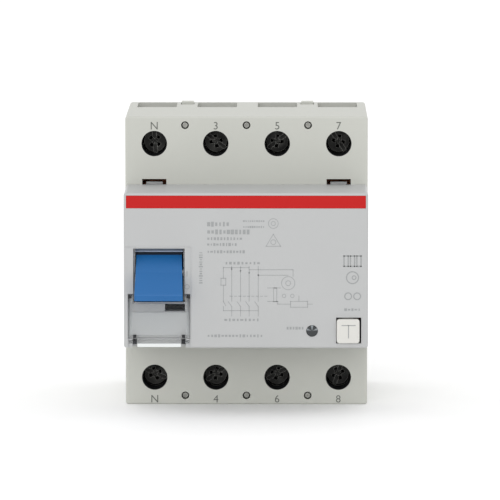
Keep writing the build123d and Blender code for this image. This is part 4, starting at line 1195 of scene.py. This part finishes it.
def pads(places, round_by):
    """Rounded blocks, each between a low and a high corner, as one mesh."""
    shape = bmesh.new()
    for low, high in places:
        box_into(shape, low, high)
    return bevelled(finished_mesh(shape, "pads"), round_by)


print("small parts can be moulded: bars, pads and rounded edges")

# %% Mould the ledge of the toggle
LEDGE_INNER, LEDGE_OUTER, LEDGE_HALF = 7.3 * MM, 9.1 * MM, 6.9 * MM
LEDGE_FROM, LEDGE_TO = 48, 62  # degrees above the front, about the axle
axle_low, axle_high = corners("toggle_axle")
toggle_middle = (axle_low + axle_high) / 2
toggle_middle.x = (toggle_low.x + toggle_high.x) / 2
# The ledge's paler blue is painted light.
ledge_blue = plastic("ledge_blue", srgb(164, 178, 200), shade=0.92, edge=1.1, roughness=0.4, relief=0.15)
# Near-black plastic for painted shade: the strip under the ledge, the flap's corner pads and hinge sleeves,
# and the well linings.
seal_black = plastic("seal_black", srgb(20, 22, 26), shade=0.8, edge=1.2, roughness=0.6, relief=0.3)
ledge = arc_bar(toggle_middle, LEDGE_HALF, LEDGE_INNER, LEDGE_OUTER, LEDGE_FROM, LEDGE_TO, 6)
ledge = bevelled(ledge, 0.12 * MM)
# A thin black strip under the ledge is painted shade.
ledge_shade_outer, ledge_shade_from = LEDGE_OUTER - 0.15 * MM, LEDGE_FROM - 1.6
ledge_shade = arc_bar(toggle_middle, LEDGE_HALF, LEDGE_INNER, ledge_shade_outer, ledge_shade_from, LEDGE_FROM, 2)
mesh_piece("toggle_ledge", ledge, ledge_blue, "toggle")
mesh_piece("ledge_seal", ledge_shade, seal_black, "toggle")
print("ledge:", len(ledge.polygons), "faces")

# %% Mould the flap's lip highlight, and the painted shade at its corners and hinge
flap_low, flap_high = corners("label_flap")
LIP_HIGHLIGHT_HEIGHT, LIP_HIGHLIGHT_PROUD = 1.0 * MM, 0.12 * MM
SHADE_PAD_SIZE, SHADE_PAD_PROUD = 0.95 * MM, 0.06 * MM
SLEEVE_RADIUS, SLEEVE_LENGTH = 0.72 * MM, 1.15 * MM
KNUCKLE_INSET = 2.5 * MM  # from the flap's side edge to its knuckle
hinge_line = Vector((0.0, sunk_face + 1.15 * MM, flap_low.z + 1.5 * MM))
sheet_foot = hinge_line.z + 1.2 * MM

# A pale strip along the flap's lip is a painted highlight.
lip_highlight_low = Vector((flap_low.x + KNUCKLE_INSET + 0.1 * MM, flap_low.y - LIP_HIGHLIGHT_PROUD, flap_low.z + 0.05 * MM))
lip_highlight_high = Vector((flap_high.x - KNUCKLE_INSET - 0.1 * MM, flap_low.y + 0.25 * MM, lip_highlight_low.z + LIP_HIGHLIGHT_HEIGHT))
grip_white = plastic("grip_white", srgb(218, 221, 220), shade=0.96, edge=1.05, roughness=0.5, relief=0.3)
mesh_piece("flap_grip", pads([(lip_highlight_low, lip_highlight_high)], 0.1 * MM), grip_white, "label_flap")

# Dark pads at the flap's corners and dark sleeves round its hinge are painted shade in the gaps there.
shade_pad_places = []
sleeves_shape = bmesh.new()
for side, edge in ((1, flap_low.x), (-1, flap_high.x)):
    for inset, top in ((0.02 * MM, flap_high.z - 0.04 * MM), (1.4 * MM, sheet_foot + SHADE_PAD_SIZE)):
        xs = sorted((edge + side * inset, edge + side * (inset + SHADE_PAD_SIZE)))
        low = (xs[0], flap_low.y - SHADE_PAD_PROUD, top - SHADE_PAD_SIZE)
        shade_pad_places.append((low, (xs[1], flap_low.y + 0.3 * MM, top)))
    sleeve = bmesh.ops.create_cone(
        sleeves_shape, cap_ends=True, segments=28, depth=SLEEVE_LENGTH,
        radius1=SLEEVE_RADIUS, radius2=SLEEVE_RADIUS,
    )["verts"]
    lying = Matrix.Rotation(math.radians(90), 3, "Y")
    bmesh.ops.rotate(sleeves_shape, cent=(0, 0, 0), matrix=lying, verts=sleeve)
    middle_x = edge + side * (KNUCKLE_INSET - 0.05 * MM - SLEEVE_LENGTH / 2)
    bmesh.ops.translate(sleeves_shape, vec=(middle_x, hinge_line.y, hinge_line.z), verts=sleeve)
hinge_sleeves = bevelled(finished_mesh(sleeves_shape, "hinge_sleeves"), 0.1 * MM)
mesh_piece("flap_stops", pads(shade_pad_places, 0.08 * MM), seal_black, "label_flap")
mesh_piece("hinge_sleeves", hinge_sleeves, seal_black, "label_flap")
print("grip, four stops, two sleeves")

# %% [markdown]
# Painted shade lines each screw well from just under its rim down to the screw, so the wells look black
# from the front. It is a thin dark sleeve, one closed band turned round the screw's axis.

# %% Line the screw wells with painted shade
WELL_SHADE_OUTER, WELL_SHADE_INNER, WELL_SHADE_RIM = 3.8 * MM, 3.66 * MM, 0.25 * MM
WELL_SHADE_SIDES = 48
well_shade = bmesh.new()
for row in ("top", "bottom"):
    for i in range(1, 5):
        low, high = corners(f"terminal_screw_{row}_{i}")
        middle = (low + high) / 2
        rim = shoulder_y + WELL_SHADE_RIM
        band(well_shade, (middle.x, middle.z), WELL_SHADE_OUTER, WELL_SHADE_INNER, rim, low.y, WELL_SHADE_SIDES)
mesh_piece("well_inserts", finished_mesh(well_shade, "well_inserts"), seal_black, "housing")
print("eight wells lined")
